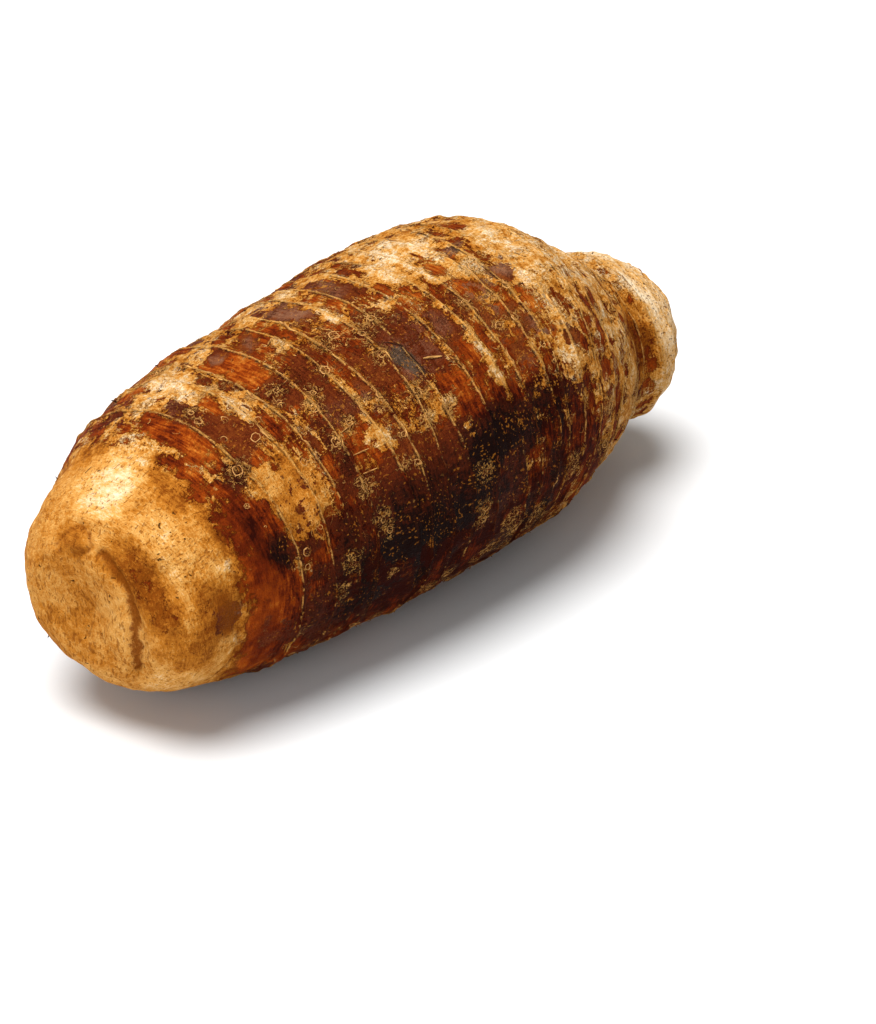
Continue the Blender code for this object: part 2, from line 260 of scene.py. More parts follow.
def smooth_curve(places, values, wanted):
    """Cubic through the values, with each slope weighted by the lengths beside it."""
    places = np.asarray(places, float)
    values = np.asarray(values, float).reshape(len(places), -1)
    length = np.diff(places)[:, None]
    rise = np.diff(values, axis=0) / length
    slope = np.empty_like(values)
    slope[0] = rise[0]
    slope[-1] = rise[-1]
    slope[1:-1] = (rise[:-1] * length[1:] + rise[1:] * length[:-1]) / (length[1:] + length[:-1])
    span = np.clip(np.searchsorted(places, wanted) - 1, 0, len(places) - 2)
    t = ((wanted - places[span]) / length[span, 0])[:, None]
    step = length[span]
    return (
        (2 * t**3 - 3 * t**2 + 1) * values[span]
        + (t**3 - 2 * t**2 + t) * step * slope[span]
        + (3 * t**2 - 2 * t**3) * values[span + 1]
        + (t**3 - t**2) * step * slope[span + 1]
    )


OUTLINE_PLACES = np.concatenate(
    [[0.0], np.cumsum(np.linalg.norm(np.diff(np.array(OUTLINE, float), axis=0), axis=1))]
)
OUTLINE_END = OUTLINE_PLACES[-1]
RING_PLACES = np.array([0.0] + [place for place, _ in RINGS] + [OUTLINE_END])


def radius_at(place):
    """Radius of the corm in mm at each place."""
    return np.maximum(smooth_curve(OUTLINE_PLACES, OUTLINE, place)[:, 1], 0)


RING_RADII = radius_at(RING_PLACES[1:-1])


def ring_lines(turn):
    """Place of every leaf scar at these turns, with the two ends, as one line of places for each ring."""
    lines = [np.zeros_like(turn)]
    for number, ((place, lean), radius) in enumerate(zip(RINGS, RING_RADII)):
        wave = sum(size * np.sin(count * turn + phase * number) for size, count, phase in RING_WAVES)
        lines.append(place + lean * np.sin(turn - RING_FRONT) + wave * radius / FULL_RADIUS)
    lines.append(np.full_like(turn, OUTLINE_END))
    return np.array(lines)


def band_share(place):
    """The band that each place is in, up to and with its ring, and how far along it, from 0 to 1."""
    band = np.clip(np.searchsorted(RING_PLACES, place) - 1, 0, len(RING_PLACES) - 2)
    return band, (place - RING_PLACES[band]) / (RING_PLACES[band + 1] - RING_PLACES[band])


def lean_with_rings(place, turn):
    """Places shifted so that what starts on a ring follows that ring all the way round."""
    lines = ring_lines(turn)
    band, share = band_share(place)
    column = np.arange(len(turn))
    return lines[band, column] * (1 - share) + lines[band + 1, column] * share


def ring_gap(place):
    """Distance to the nearest ring."""
    return np.abs(place[:, None] - RING_PLACES[1:-1]).min(axis=1)


def off_turn(turn, middle):
    """Degrees from the middle turn, the short way round, for turns in radians."""
    return (np.degrees(turn) - middle + 180) % 360 - 180


def solid_relief(place, turn):
    """Height of the leaf scars, lobes, hollows and bud that the solid has too."""
    band, share = band_share(place)
    strength = 0.85 + 0.3 * np.sin(2 * turn + 1.3 * band)
    crest = RING_CREST * np.exp(-((ring_gap(place) / RING_CREST_WIDTH) ** 2))
    swell = BAND_STEP * (share - 0.5)
    knobs = np.interp(place, *zip(*KNOB_HEIGHTS)) * np.sin(KNOBS_ROUND * turn + 2.1 * band)
    knobs *= np.sin(math.pi * share)
    start = np.clip((place - BARE_END) / BARE_FADE, 0, 1)
    finish = np.clip((OUTLINE_END - place) / BARE_FADE, 0, 1)
    height = (strength * (crest + swell) + knobs) * start * finish
    for middle, middle_turn, length, width, rise in SWELLINGS.values():
        along = (place - middle) / length
        around = off_turn(turn, middle_turn) / width
        height += rise * np.exp(-(along**2) - around**2)
    return height + BUD_HEIGHT * np.exp(-(((OUTLINE_END - place) / BUD_SIZE) ** 2))


def surface(place, turn):
    """Point, in mm, and outward normal of the smooth corm at each place and turn."""
    shifted = lean_with_rings(place, turn)
    here = smooth_curve(OUTLINE_PLACES, OUTLINE, shifted)
    ahead = smooth_curve(OUTLINE_PLACES, OUTLINE, np.minimum(shifted + 0.2, OUTLINE_END))
    behind = smooth_curve(OUTLINE_PLACES, OUTLINE, np.maximum(shifted - 0.2, 0))
    run = ahead - behind
    run /= np.linalg.norm(run, axis=1, keepdims=True)

    axis = np.array(AXIS, float)
    x, radius = here[:, 0], np.maximum(here[:, 1], 0)
    centre = smooth_curve(axis[:, 0], axis[:, 1:], x)
    bend = smooth_curve(axis[:, 0], axis[:, 1:], x + 0.5) - smooth_curve(axis[:, 0], axis[:, 1:], x - 0.5)
    forward = np.column_stack([np.ones_like(x), bend])
    forward /= np.linalg.norm(forward, axis=1, keepdims=True)
    side = np.cross((0.0, 0.0, 1.0), forward)
    side /= np.linalg.norm(side, axis=1, keepdims=True)
    up = np.cross(forward, side)
    outward = np.cos(turn)[:, None] * side + FLATNESS * np.sin(turn)[:, None] * up
    normal = run[:, :1] * outward - run[:, 1:] * forward
    return np.column_stack([x, centre]) + radius[:, None] * outward, normal


def grain_points(place, turn):
    """The spots on a corm that is straightened, in mm, so that grain runs along it and round it."""
    radius = radius_at(place)
    return np.column_stack([place, radius * np.cos(turn), radius * np.sin(turn)])


def noise_field(points, size, octaves=3, seed=0):
    """Noise from about -1 to 1 with lumps of this size in mm, or of three sizes along and across the corm."""
    spots = points / np.asarray(size, float) + seed * np.array((31.7, 11.3, 23.9))
    settings = (OCTAVE_STRENGTH, OCTAVE_FINENESS, octaves)
    heights = [noise.fractal(spot, *settings, noise_basis="PERLIN_ORIGINAL") for spot in spots.tolist()]
    return np.array(heights) * NOISE_GAIN


def edge_warp(points):
    """Two noises that move the edges of patches and folds, one along the corm and one round it."""
    return noise_field(points, 5, seed=1), noise_field(points, 5, seed=2)


def patches(spots, place, turn, warp):
    """Strength of the listed patches at each spot, their edges moved by the warp in mm."""
    total = np.zeros_like(place)
    for middle, middle_turn, length, width, strength in spots:
        along = (place - middle + 0.9 * warp[0]) / length
        around = (off_turn(turn, middle_turn) + 1.2 * warp[1]) / width
        total += strength * np.exp(-(along**4) - around**4)
    return total


def smoothstep(low, high, value):
    """Smooth step from 0 at the first value to 1 at the second."""
    t = np.clip((value - low) / (high - low), 0, 1)
    return t * t * (3 - 2 * t)


def to_line(place, turn, line):
    """Distance in mm from each spot to a line of places and turns on the skin."""
    round_mm = np.maximum(radius_at(place), 4)
    nearest = np.full(len(place), 99.0)
    for (place0, turn0), (place1, turn1) in zip(line, line[1:]):
        x, y = place - place0, np.radians(off_turn(turn, turn0)) * round_mm
        run, lift = place1 - place0, np.radians(turn1 - turn0) * round_mm
        along = np.clip((x * run + y * lift) / (run**2 + lift**2), 0, 1)
        nearest = np.minimum(nearest, np.hypot(x - along * run, y - along * lift))
    return nearest


def folds(place, turn, warp):
    """Height in mm of the butt's folds, and how dark they are painted: shade in the creases, and stains."""
    height, shadow = np.zeros_like(place), np.zeros_like(place)
    near = place < FOLDS_END
    spots = place[near] + 0.6 * warp[0][near], turn[near]
    for width, rise, dark, line in FOLDS:
        share = np.exp(-((to_line(*spots, line) / width) ** 2))
        height[near] += rise * share
        shadow[near] = np.maximum(shadow[near], dark * share)
    return height, shadow


def scar_list():
    """All root scars: those seen from the front, and more on the sides that the front doesn't show."""
    draw = random.Random(SCAR_SEED)
    scars = list(FRONT_SCARS)
    while len(scars) < len(FRONT_SCARS) + BACK_SCARS:
        place = draw.uniform(*SCARRED_PLACES)
        degrees = draw.uniform(*BACK_TURNS) % 360
        radius = draw.uniform(0.7, 1.5)
        if all(abs(place - p) > 3 or abs((degrees - t + 180) % 360 - 180) > 4 for p, t, _, _ in scars):
            scars.append((place, degrees, radius, draw.choice(BACK_STRANDS)))
    return scars


SCARS = scar_list()


def crumb_field(seen, turn):
    """How thick the crumbs of torn root lie, round the scars that throw out strands."""
    total = np.zeros_like(seen)
    round_mm = np.maximum(radius_at(seen), 8)
    for place, degrees, radius, arms in SCARS:
        reach = 1.2 * radius + 0.22 * arms + 0.6
        along = (seen - place) / reach
        around = np.radians(off_turn(turn, degrees)) * round_mm / (1.2 * reach)
        total = np.maximum(total, min(1, 0.25 + 0.15 * arms) * np.exp(-(along**2) - around**2))
    return total


def skin_fields(place, turn):
    """What covers the skin: cork, film plates, how dark and grey they are, where it is smooth, and folds."""
    points = grain_points(place, turn)
    seen = lean_with_rings(place, turn)
    warp = edge_warp(points)
    band, _ = band_share(place)
    broad = noise_field(points, (22, 26, 26), octaves=2, seed=3)
    blots = noise_field(points, (6, 8, 8), seed=4)
    strips = noise_field(points, (3, 20, 20), octaves=2, seed=5)
    # The front is set mostly by the patches, the other sides mostly by the noise
    front = np.exp(-((off_turn(turn, 125) / 62) ** 4)) * smoothstep(60, 75, place)
    wild = 1 - 0.5 * front
    # The front's lower flank is dark, with less cork: its own dark film, and painted shade of that side
    flank = np.exp(-((off_turn(turn, 205) / 48) ** 4)) * smoothstep(50, 70, place)
    flank *= smoothstep(235, 195, place)
    cork_base = np.interp(
        place,
        [0, 48, 58, 70, 100, 150, 175, 190, 205, 240, 256, 259, 275, 290, 297],
        [1.05, 1.05, 0.6, 0.34, 0.3, 0.32, 0.38, 0.55, 0.68, 0.65, 0.66, 1.4, 1.65, 1.4, 1.0],
    )
    # The butt stays calm, and the top has more cork
    calm = smoothstep(44, 58, place)
    top = np.exp(-((off_turn(turn, 62) / 20) ** 2))
    cork = cork_base + wild * calm * (0.2 * blots + 0.28 * strips) + 0.12 * broad + 0.08 * blots
    cork += patches(CORK_PATCHES, seen, turn, warp) - 0.3 * flank
    cork += 0.2 * top * np.clip((place - 62) / 20, 0, 1)
    cork -= 0.14 * (1 - front) * calm * smoothstep(240, 200, place)
    shaken = noise_field(points + (7.0 * band)[:, None], (9, 14, 14), octaves=2, seed=6)
    plate_base = np.interp(
        place,
        [0, 52, 64, 80, 150, 175, 190, 205, 240, 297],
        [-1.4, -1.2, -0.1, 0.08, 0.08, 0.0, -0.25, -0.5, -0.9, -1.4],
    )
    plate = plate_base + wild * calm * (0.75 * shaken + 0.15 * blots)
    plate += patches(PLATE_PATCHES, seen, turn, warp)
    dark = (1 - 0.6 * front) * (0.25 * np.sin(band * 12.9 + 3.1) + 0.35 * shaken) + 0.4 * flank
    dark += patches(DARK_PATCHES, seen, turn, warp)
    # Greyness of the films: partly their own coat, partly painted sheen
    grey = 0.5 * noise_field(points, (10, 16, 16), octaves=2, seed=8)
    grey += patches(GREY_AND_SHEEN_PATCHES, seen, turn, warp)
    # The butt and the crown's tip are smooth
    bare_edge = 55 - 6 * np.sin(turn - math.radians(95)) ** 2 * (np.cos(turn) < 0) + 3 * warp[0]
    bare = smoothstep(4, -4, place - bare_edge) + 0.8 * smoothstep(254, 260, place)
    bare += patches(SMOOTH_PATCHES, seen, turn, warp)
    bare = np.clip(bare, 0, 1)
    _, fold = folds(place, turn, warp)
    return {"cork": cork, "plate": plate, "dark": dark, "grey": grey, "bare": bare, "fold": fold}


def fine_relief(place, turn, fields):
    """Height in mm of what is too fine for the solid: cork, knobs, folds and the crests' thin lips."""
    sizes = bpy.context.scene.malanga_skin
    points = grain_points(place, turn)
    warp = edge_warp(points)
    plate = smoothstep(-0.1, 0.2, fields["plate"])
    bare = fields["bare"]
    cork = smoothstep(0.2, 0.9, fields["cork"]) * (1 - plate) * (1 - 0.8 * bare)
    knobs = noise_field(points, (2.2, 2.6, 2.6), octaves=2, seed=11)
    lumps = noise_field(points, 9, octaves=2, seed=12)
    waves = noise_field(points, (2.5, 9, 9), octaves=2, seed=13)
    lip = np.exp(-((ring_gap(place) / 0.4) ** 2)) * smoothstep(-0.2, 0.3, waves)
    ringed = np.clip((place - BARE_END) / BARE_FADE, 0, 1)
    knobbly = cork * (1 - 0.5 * smoothstep(190, 230, place)) + 0.45 - 0.2 * bare
    height = sizes.cork_thickness / MM * cork + sizes.knob_height / MM * knobbly * knobs + 0.3 * lumps
    height += 0.15 * bare * waves
    height += folds(place, turn, warp)[0]
    return height + ringed * (0.15 * waves + sizes.lip_height / MM * lip) - 0.3


def form_middle():
    """Middle of the form's own box in mm, and the height at which its belly is worn flat."""
    places, turns = np.meshgrid(np.linspace(0, OUTLINE_END, 180), np.linspace(-math.pi, math.pi, 96))
    place, turn = places.ravel(), turns.ravel()
    points, normal = surface(place, turn)
    points += solid_relief(place, turn)[:, None] * normal
    low, high = points.min(axis=0), points.max(axis=0)
    height = (HIGHEST.z - LOWEST.z) / MM
    return np.array(((low[0] + high[0]) / 2, (low[1] + high[1]) / 2, high[2] - height))


FORM_MIDDLE = form_middle()


def to_frame(points):
    """From the form's own mm to metres in the frame, where the solid stands."""
    middle = (LOWEST + HIGHEST) / 2
    return (points - FORM_MIDDLE) * MM + np.array((middle.x, middle.y, LOWEST.z))


def on_rings(seen, turn):
    """Places that lie, once the rings have bent them, at the places seen."""
    place = np.array(seen, float)
    for _ in range(3):
        place += seen - lean_with_rings(place, turn)
    return place


def skin_spots(place, turn, lift=0.0):
    """Spots on the finished skin in metres, raised by the lift in mm, with what covers the skin there."""
    fields = skin_fields(place, turn)
    points, normal = surface(place, turn)
    height = solid_relief(place, turn) + fine_relief(place, turn, fields) + lift
    spots = to_frame(points + height[:, None] * normal)
    spots[:, 2] = np.maximum(spots[:, 2], LOWEST.z)
    return spots, fields


def linear(colour):
    """Blender's linear colour for an sRGB hex string."""
    parts = [int(colour[i : i + 2], 16) / 255 for i in (1, 3, 5)]
    return tuple(p / 12.92 if p <= 0.04045 else ((p + 0.055) / 1.055) ** 2.4 for p in parts) + (1.0,)


def paint(name, description, colour):
    """A colour that a user can change."""
    return FloatVectorProperty(
        name=name, description=description, default=linear(colour), subtype="COLOR", size=4, min=0, max=1
    )


def length(name, description, size):
    """A length that a user can change, with its default in mm."""
    return FloatProperty(
        name=name, description=description, default=size * MM, min=0,
        subtype="DISTANCE", unit="LENGTH", precision=5,
    )


class MALANGA_PG_skin(bpy.types.PropertyGroup):
    """Colours and fine relief of the skin"""

    rind_shade: paint("Rind, shaded", "Rind in the lee of a ring, nearly black", "#280702")
    rind_red: paint("Rind, red-brown", "Rind where old leaf bases kept it damp", "#5a1c04")
    rind_rust: paint("Rind, rust", "Most of the bare rind", "#873707")
    rind_orange: paint("Rind, orange", "Young rind beside the cork", "#b0621d")
    cork_brown: paint("Cork, brown", "Thin cork over the rind", "#743a08")
    cork_tan: paint("Cork, tan", "Weathered cork", "#a9681f")
    cork_buff: paint("Cork, buff", "Clean cork", "#ca944c")
    cork_cream: paint("Cork, cream", "Rubbed, chalky cork", "#e6d0ac")
    film_brown: paint("Film, brown", "Leaf-base film where it is thin", "#7c3e14")
    film_maroon: paint("Film, maroon", "Most of the leaf-base film", "#551f08")
    film_black: paint("Film, black", "Leaf-base film where it lies thick", "#140503")
    # The grey-pink and grey-plate films below are pale partly by their own coat, partly by painted sheen
    film_pink_and_sheen: paint("Film, grey-pink", "Leaf-base film with a bloom", "#8f6a50")
    film_slate_and_sheen: paint("Film, slate", "The polished plate", "#6a5644")
    # This dark is dirt, and also painted shade: in the pits, between the crumbs and before each ring
    soil_and_shade: paint("Soil", "Dirt in pits, cracks and folds", "#2a1006")
    crumb: paint("Crumbs", "Torn fibre and crumbs of cork", "#ca934c")
    bump: length("Bump", "Depth of the grain that is drawn by shading", 0.6)
    knob_height: length("Knobs", "Height of the cork's knobs", 0.15)
    cork_thickness: length("Cork", "How far the cork stands over the rind", 0.25)
    lip_height: length("Lips", "Height of the thin lip on each leaf scar", 0.15)


class MALANGA_PG_fibres(bpy.types.PropertyGroup):
    """Root hairs and the fibres left by leaves"""

    pale: paint("Pale fibre", "Clean end of a dry fibre", "#d09c58")
    brown: paint("Brown fibre", "Fibre that lies in dirt", "#653410")
    # Darker fibre on the lower flank: dirt, and also painted shade
    stained_and_shaded: paint("Stained fibre", "Fibre on the dark skin of the flank", "#4a220c")
    scar_hollow: paint("Scar, hollow", "Inside of a root scar", "#140703")
    scar_rim: paint("Scar, rim", "Corky rim of a root scar", "#cc9a5c")
    old_root: paint("Old root", "Stub of a dead root", "#3a1d0e")
    hairs: IntProperty(name="Root hairs", description="Number of loose root hairs", default=650, min=1)
    hair_radius: length("Hair radius", "Radius of a loose root hair at its root", 0.08)
    strand_radius: length("Strand radius", "Radius of a strand beside a scar", 0.16)
    ring_radius: length("Leaf fibre radius", "Least radius of the fibres on the leaf scars", 0.1)


class MALANGA_PG_stage(bpy.types.PropertyGroup):
    """Floor, light and room"""

    paper: paint("Paper", "Colour of the floor", "#d4d4d4")
    sun_strength: FloatProperty(
        name="Key light", description="Strength of the soft key light", default=5.4, min=0,
    )
    sun_spread: FloatProperty(
        name="Key spread", description="Angle that the soft key light fills",
        default=math.radians(42), min=0, max=math.pi, subtype="ANGLE",
    )
    fill_power: FloatProperty(
        name="Fill light", description="Power of the fill at the butt's side", default=3.6, min=0,
    )
    room_strength: FloatProperty(
        name="Room light", description="Strength of the white room", default=0.32, min=0,
    )


TIMES = {"operation": "MULTIPLY"}
TIMES_PLUS = {"operation": "MULTIPLY_ADD"}
SMOOTH = {"interpolation_type": "SMOOTHSTEP"}
PAINT = {"data_type": "RGBA", "out": 2}
# Refraction of dry plant matter, and of the paper made from it
DRY_IOR = 1.45
FIELDS = ("cork", "plate", "dark", "grey", "bare", "fold", "crumbs", "from_ring", "before_ring")
# Noises of the skin: sizes in mm along the corm and twice across it, detail, roughness and distortion
SKIN_NOISES = {
    "blotch": ((12, 14, 14), 2, 0.5, 0),
    "coarse": ((4.5, 4.5, 4.5), 3, 0.55, 0),
    "middle": ((1.9, 1.9, 1.9), 3, 0.6, 0),
    "fine": ((0.8, 0.8, 0.8), 3, 0.65, 0),
    "grit": ((0.4, 0.4, 0.4), 2, 0.7, 0),
    "ringwise": ((0.7, 5, 5), 3, 0.55, 0),
    "lengthwise": ((5, 0.7, 0.7), 3, 0.55, 0),
    "wrinkle": ((0.5, 2.2, 2.2), 2, 0.6, 0.6),
    "face_dash": ((30, 0.6, 2.0), 1, 0.5, 0),
    "long_dash": ((2.0, 0.65, 0.65), 1, 0.5, 0),
    "along_rings": ((1.3, 6, 6), 1.5, 0.55, 0.7),
    "curled": ((1.5, 1.8, 1.8), 1.5, 0.55, 1.4),
    "crossing": ((7, 1.8, 1.8), 1.5, 0.55, 0.5),
    "spots": ((0.85, 0.85, 0.85), 1, 0.5, 0),
    "tangle": ((2.0, 2.4, 2.4), 1.5, 0.55, 1.4),
}
# Cells of the skin: sizes in mm, what is measured and the output that gives it
SKIN_CELLS = {
    "cell_edge": ((8, 9, 9), "DISTANCE_TO_EDGE", "Distance"),
    "crack_edge": ((3.8, 2.6, 2.6), "DISTANCE_TO_EDGE", "Distance"),
    "pit_distance": ((3.4, 3.4, 3.4), "F1", "Distance"),
    "pit_chance": ((3.4, 3.4, 3.4), "F1", "Color"),
}
# The cells' edges are bent by this much over this size, both in mm
CELL_DRIFT = 1.6
CELL_DRIFT_SIZE = 3
# What crowds the dry fibres together, and what makes the films pale: their grey-pink coat and painted sheen
FIBRE_CROWD = {"cork": 0.25, "coarse": 0.32, "near_ring": 0.12}
BLOOM_AND_SHEEN = {"grey": 1, "middle": 0.35}
# Patterns made from the fields, the noises and the patterns before them: a start value and the share of
# each that is added to it, the smooth step from 0 to 1 that the sum goes through, and what it is then
# multiplied by
SKIN_PATTERNS = [
    ("small", 0, {"middle": 1, "fine": 0.77, "grit": 0.44}, None, ()),
    ("rough", 1, {"bare": -1}, None, ()),
    ("rough_small", 0, {"small": 1}, None, ("rough",)),
    ("near_ring", 0, {"from_ring": 1}, (3, 0.3), ()),
    # Dry fibres: where a noise passes its middle, its square is next to nothing
    ("many", 0, FIBRE_CROWD, (0.08, 0.24), ("rough",)),
    ("few", 0, FIBRE_CROWD, (0.16, 0.3), ("rough",)),
    ("ring_square", 0, {"along_rings": 1}, None, ("along_rings",)),
    ("curled_square", 0, {"curled": 1}, None, ("curled",)),
    ("crossing_square", 0, {"crossing": 1}, None, ("crossing",)),
    ("ring_fibres", 0, {"ring_square": 1}, (0.008, 0.0004), ("many",)),
    ("curled_fibres", 0, {"curled_square": 1}, (0.007, 0.0004), ("few",)),
    ("crossing_fibres", 0, {"crossing_square": 1}, (0.004, 0.0002), ("few",)),
    ("fibres", 0, {"ring_fibres": 1, "curled_fibres": 1, "crossing_fibres": 1}, (0.1, 0.9), ()),
    # Rind: its tone drifts over 5 to 15 mm, with faint streaks along the rings
    ("rind_streaks", 0, {"ringwise": 0.22, "small": 0.1}, None, ("rough",)),
    ("rind_tone", 0.38, {"dark": -0.25, "coarse": 0.12, "blotch": 0.12, "rind_streaks": 1, "cork": 0.12},
     None, ()),
    # Cork: a web along the edges of 8 mm cells, which closes where there is more of it
    ("net", 0, {"cell_edge": 1, "middle": 0.12, "coarse": 0.08}, (0.2, 0.04), ()),
    ("web", -0.09, {"cork": 0.85, "net": 0.32, "small": 0.17, "ringwise": 0.16, "coarse": 0.1, "bare": 0.42,
                    "crumbs": 0.1, "near_ring": 0.14}, None, ()),
    ("cork_mask", 0, {"web": 1}, (0.48, 0.62), ()),
    ("bare_rind", 1, {"cork_mask": -1}, None, ()),
    ("edge_shadow", 0, {"web": 1}, (0.34, 0.48), ("bare_rind",)),
    ("cork_patchy", 0, {"coarse": 1}, None, ("rough",)),
    ("past_face", 0, {"along": 1}, (22, 30), ()),
    ("wrinkles", 0, {"wrinkle": 1}, None, ("past_face",)),
    ("cork_tone", 0.12, {"cork": 0.46, "bare": -0.16, "small": 0.11, "rough_small": 0.11, "wrinkles": 0.12,
                         "blotch": 0.14, "fibres": 0.12, "cork_patchy": 0.08, "coarse": 0.09}, None, ()),
    # Film: smooth, streaked along the rings, and torn where the cork's net runs through it
    ("film_tone", 0.36, {"dark": 0.42, "middle": 0.17, "fine": 0.1, "grit": 0.05, "ringwise": 0.14},
     None, ()),
    ("bloom_and_sheen", 0, BLOOM_AND_SHEEN, (0.3, 1.2), ()),
    ("slate_and_sheen", 0, BLOOM_AND_SHEEN, (1.35, 1.65), ()),
    ("thick_cork", 0, {"cork": 1}, (0.45, 1.3), ()),
    ("torn", 0, {"cork": 1}, (0.05, 0.45), ("net",)),
    ("film_mask", 0, {"plate": 1, "middle": 0.3, "fine": 0.2, "thick_cork": -0.4, "fibres": -0.4,
                      "torn": -0.6}, (0.08, 0.26), ()),
    # Marks: pits where fine roots broke off (painted dark as shade), cracks, dashes, pale flecks and crumbs
    ("pit_chosen", 0, {"pit_chance": 1}, (0.52, 0.56), ()),
    ("pit_room", 0, {"cork": 1}, (0.35, 0.7), ("pit_chosen",)),
    # The pits sink by the bump and are painted dark: painted shade in each pit
    ("pits", 0, {"pit_distance": 1, "pit_chance": -0.2, "fine": -0.05}, (0, -0.05), ("pit_room",)),
    ("crack_room", 0, {"coarse": 1, "blotch": 0.6}, (0.1, 0.4), ("rough",)),
    ("cracks", 0, {"crack_edge": 1, "fine": 0.03}, (0.06, 0.02), ("crack_room",)),
    ("butt_side", 0, {"along": 1}, (64, 56), ("past_face",)),
    ("dash_turn", 0, {"long_dash": 1, "face_dash": -1}, None, ("butt_side",)),
    ("dash_room", 0, {"along": 1}, (64, 58), ("cork_mask",)),
    ("dashes", 0, {"dash_turn": 1, "face_dash": 1, "coarse": -0.25, "butt_side": -0.06}, (0.32, 0.46),
     ("dash_room",)),
    ("dot_room", 0, {"along": 1}, (232, 240), ()),
    ("dots", 0, {"spots": 1, "coarse": 0.1}, (0.34, 0.46), ("dot_room",)),
    # Pale flecks on the films: bits of cork, and partly painted glints of the films' shine
    ("specks_and_glints", 0, {"spots": 1, "coarse": 0.35, "crumbs": 0.2}, (0.46, 0.6), ("film_mask",)),
    ("crumb_noise", 0, {"fine": 1, "middle": 0.6, "grit": 0.3}, None, ()),
    ("crumb_room", 0, {"crumbs": 1, "middle": 0.35}, (0.22, 0.5), ()),
    ("tangle_square", 0, {"tangle": 1}, None, ("tangle",)),
    ("tangles", 0, {"tangle_square": 1}, (0.01, 0.0012), ("crumb_room",)),
    ("crumb_mask", 0, {"crumb_noise": 1, "crumbs": 0.5}, (0.85, 1.0), ("crumb_room",)),
    # Dark gaps between the crumbs: sunk by the bump and painted dark as the shade between them
    ("gaps", 0, {"crumb_noise": 1}, (-0.1, -0.4), ("crumb_room",)),
    # Leaf-scar lines: a pale lip on the ring and a dark line of painted shade before it, beside its crest
    ("lip_room", 0, {"middle": 1, "dark": -0.7}, (-0.55, 0), ()),
    ("lip", 0, {"from_ring": 1, "fine": 0.3, "middle": 0.2}, (0.7, 0.2), ("lip_room",)),
    # The dark line before each ring is painted shade beside the crest, where the solid has no sunken line
    ("ring_shadow_far", 0, {"before_ring": 1}, (1.25, 0.8), ()),
    ("ring_shadow_room", 0, {"coarse": 1, "middle": 1}, (-0.4, 0.4), ("ring_shadow_far",)),
    ("ring_shadow_bare", 0, {"cork": 1}, (1, 0.5), ("ring_shadow_room",)),
    ("ring_shadow", 0, {"before_ring": 1}, (0.3, 0.6), ("ring_shadow_bare",)),
    # Brown down the butt's creases: painted shade in the creases, and the brown of the stains
    ("fold_shade_and_tint", 0, {"fold": 1, "small": 0.25}, (0.2, 0.85), ()),
    ("skin_roughness", 0.75, {"film_mask": -0.2, "fine": 0.1, "slate_and_sheen": -0.15}, None, ()),
    ("skin_height", 0, {
        "small": 0.18, "rough_small": 0.06, "wrinkles": 0.14, "lengthwise": 0.08, "cork_mask": 0.5,
        "film_mask": -0.35, "pits": -0.5, "cracks": -0.15, "dashes": -0.3, "dots": -0.4, "crumb_mask": 0.3,
        "tangles": 0.35, "gaps": -0.3, "fibres": 0.25, "lip": 0.6,
    }, None, ()),
]


def add(tree, kind, inputs=(), stops=(), out=0, **settings):
    """Add a node with its settings, its values and links, and a ramp's stops, and give the wanted output."""
    node = tree.nodes.new("ShaderNode" + kind)
    for name, value in settings.items():
        setattr(node, name, value)
    for socket, value in inputs.items() if isinstance(inputs, dict) else enumerate(inputs):
        if isinstance(value, bpy.types.NodeSocket):
            tree.links.new(value, node.inputs[socket])
        else:
            node.inputs[socket].default_value = value
    for number, (position, colour) in enumerate(stops):
        if number >= len(node.color_ramp.elements):
            node.color_ramp.elements.new(position)
        node.color_ramp.elements[number].position = position
        node.color_ramp.elements[number].color = colour
    return node.outputs[out] if node.outputs else None


def new_tree(name):
    """A new material with an empty node tree."""
    material = bpy.data.materials.new(name)
    material.use_nodes = True
    material.node_tree.nodes.clear()
    return material, material.node_tree


def skin_patterns(tree):
    """The outputs of all the skin's fields, noises, cells and patterns, by name."""
    p = {name: add(tree, "Attribute", out="Fac", attribute_name=name) for name in FIELDS}
    grain = add(tree, "Attribute", out="Vector", attribute_name="grain")
    p["along"] = add(tree, "SeparateXYZ", (grain,))
    for name, (sizes, detail, roughness, distortion) in SKIN_NOISES.items():
        scaled = add(tree, "VectorMath", (grain, [1 / size for size in sizes]), **TIMES)
        p[name] = add(tree, "TexNoise", {
            "Vector": scaled, "Scale": 1.0, "Detail": detail, "Roughness": roughness,
            "Distortion": distortion}, normalize=False)
    drift = add(tree, "TexNoise", {
        "Vector": grain, "Scale": 1 / CELL_DRIFT_SIZE, "Detail": 2.0}, out="Color", normalize=False)
    drifted = add(tree, "VectorMath", (drift, (CELL_DRIFT, CELL_DRIFT, CELL_DRIFT), grain), **TIMES_PLUS)
    for name, (sizes, feature, out) in SKIN_CELLS.items():
        scaled = add(tree, "VectorMath", (drifted, [1 / size for size in sizes]), **TIMES)
        p[name] = add(tree, "TexVoronoi", {"Vector": scaled, "Scale": 1.0}, out=out, feature=feature)
    for name, start, shares, step, factors in SKIN_PATTERNS:
        value = start
        for pattern, share in shares.items():
            value = add(tree, "Math", (p[pattern], share, value), **TIMES_PLUS)
        if step:
            value = add(tree, "MapRange", (value, *step), **SMOOTH)
        for factor in factors:
            value = add(tree, "Math", (value, p[factor]), **TIMES)
        p[name] = value
    return p


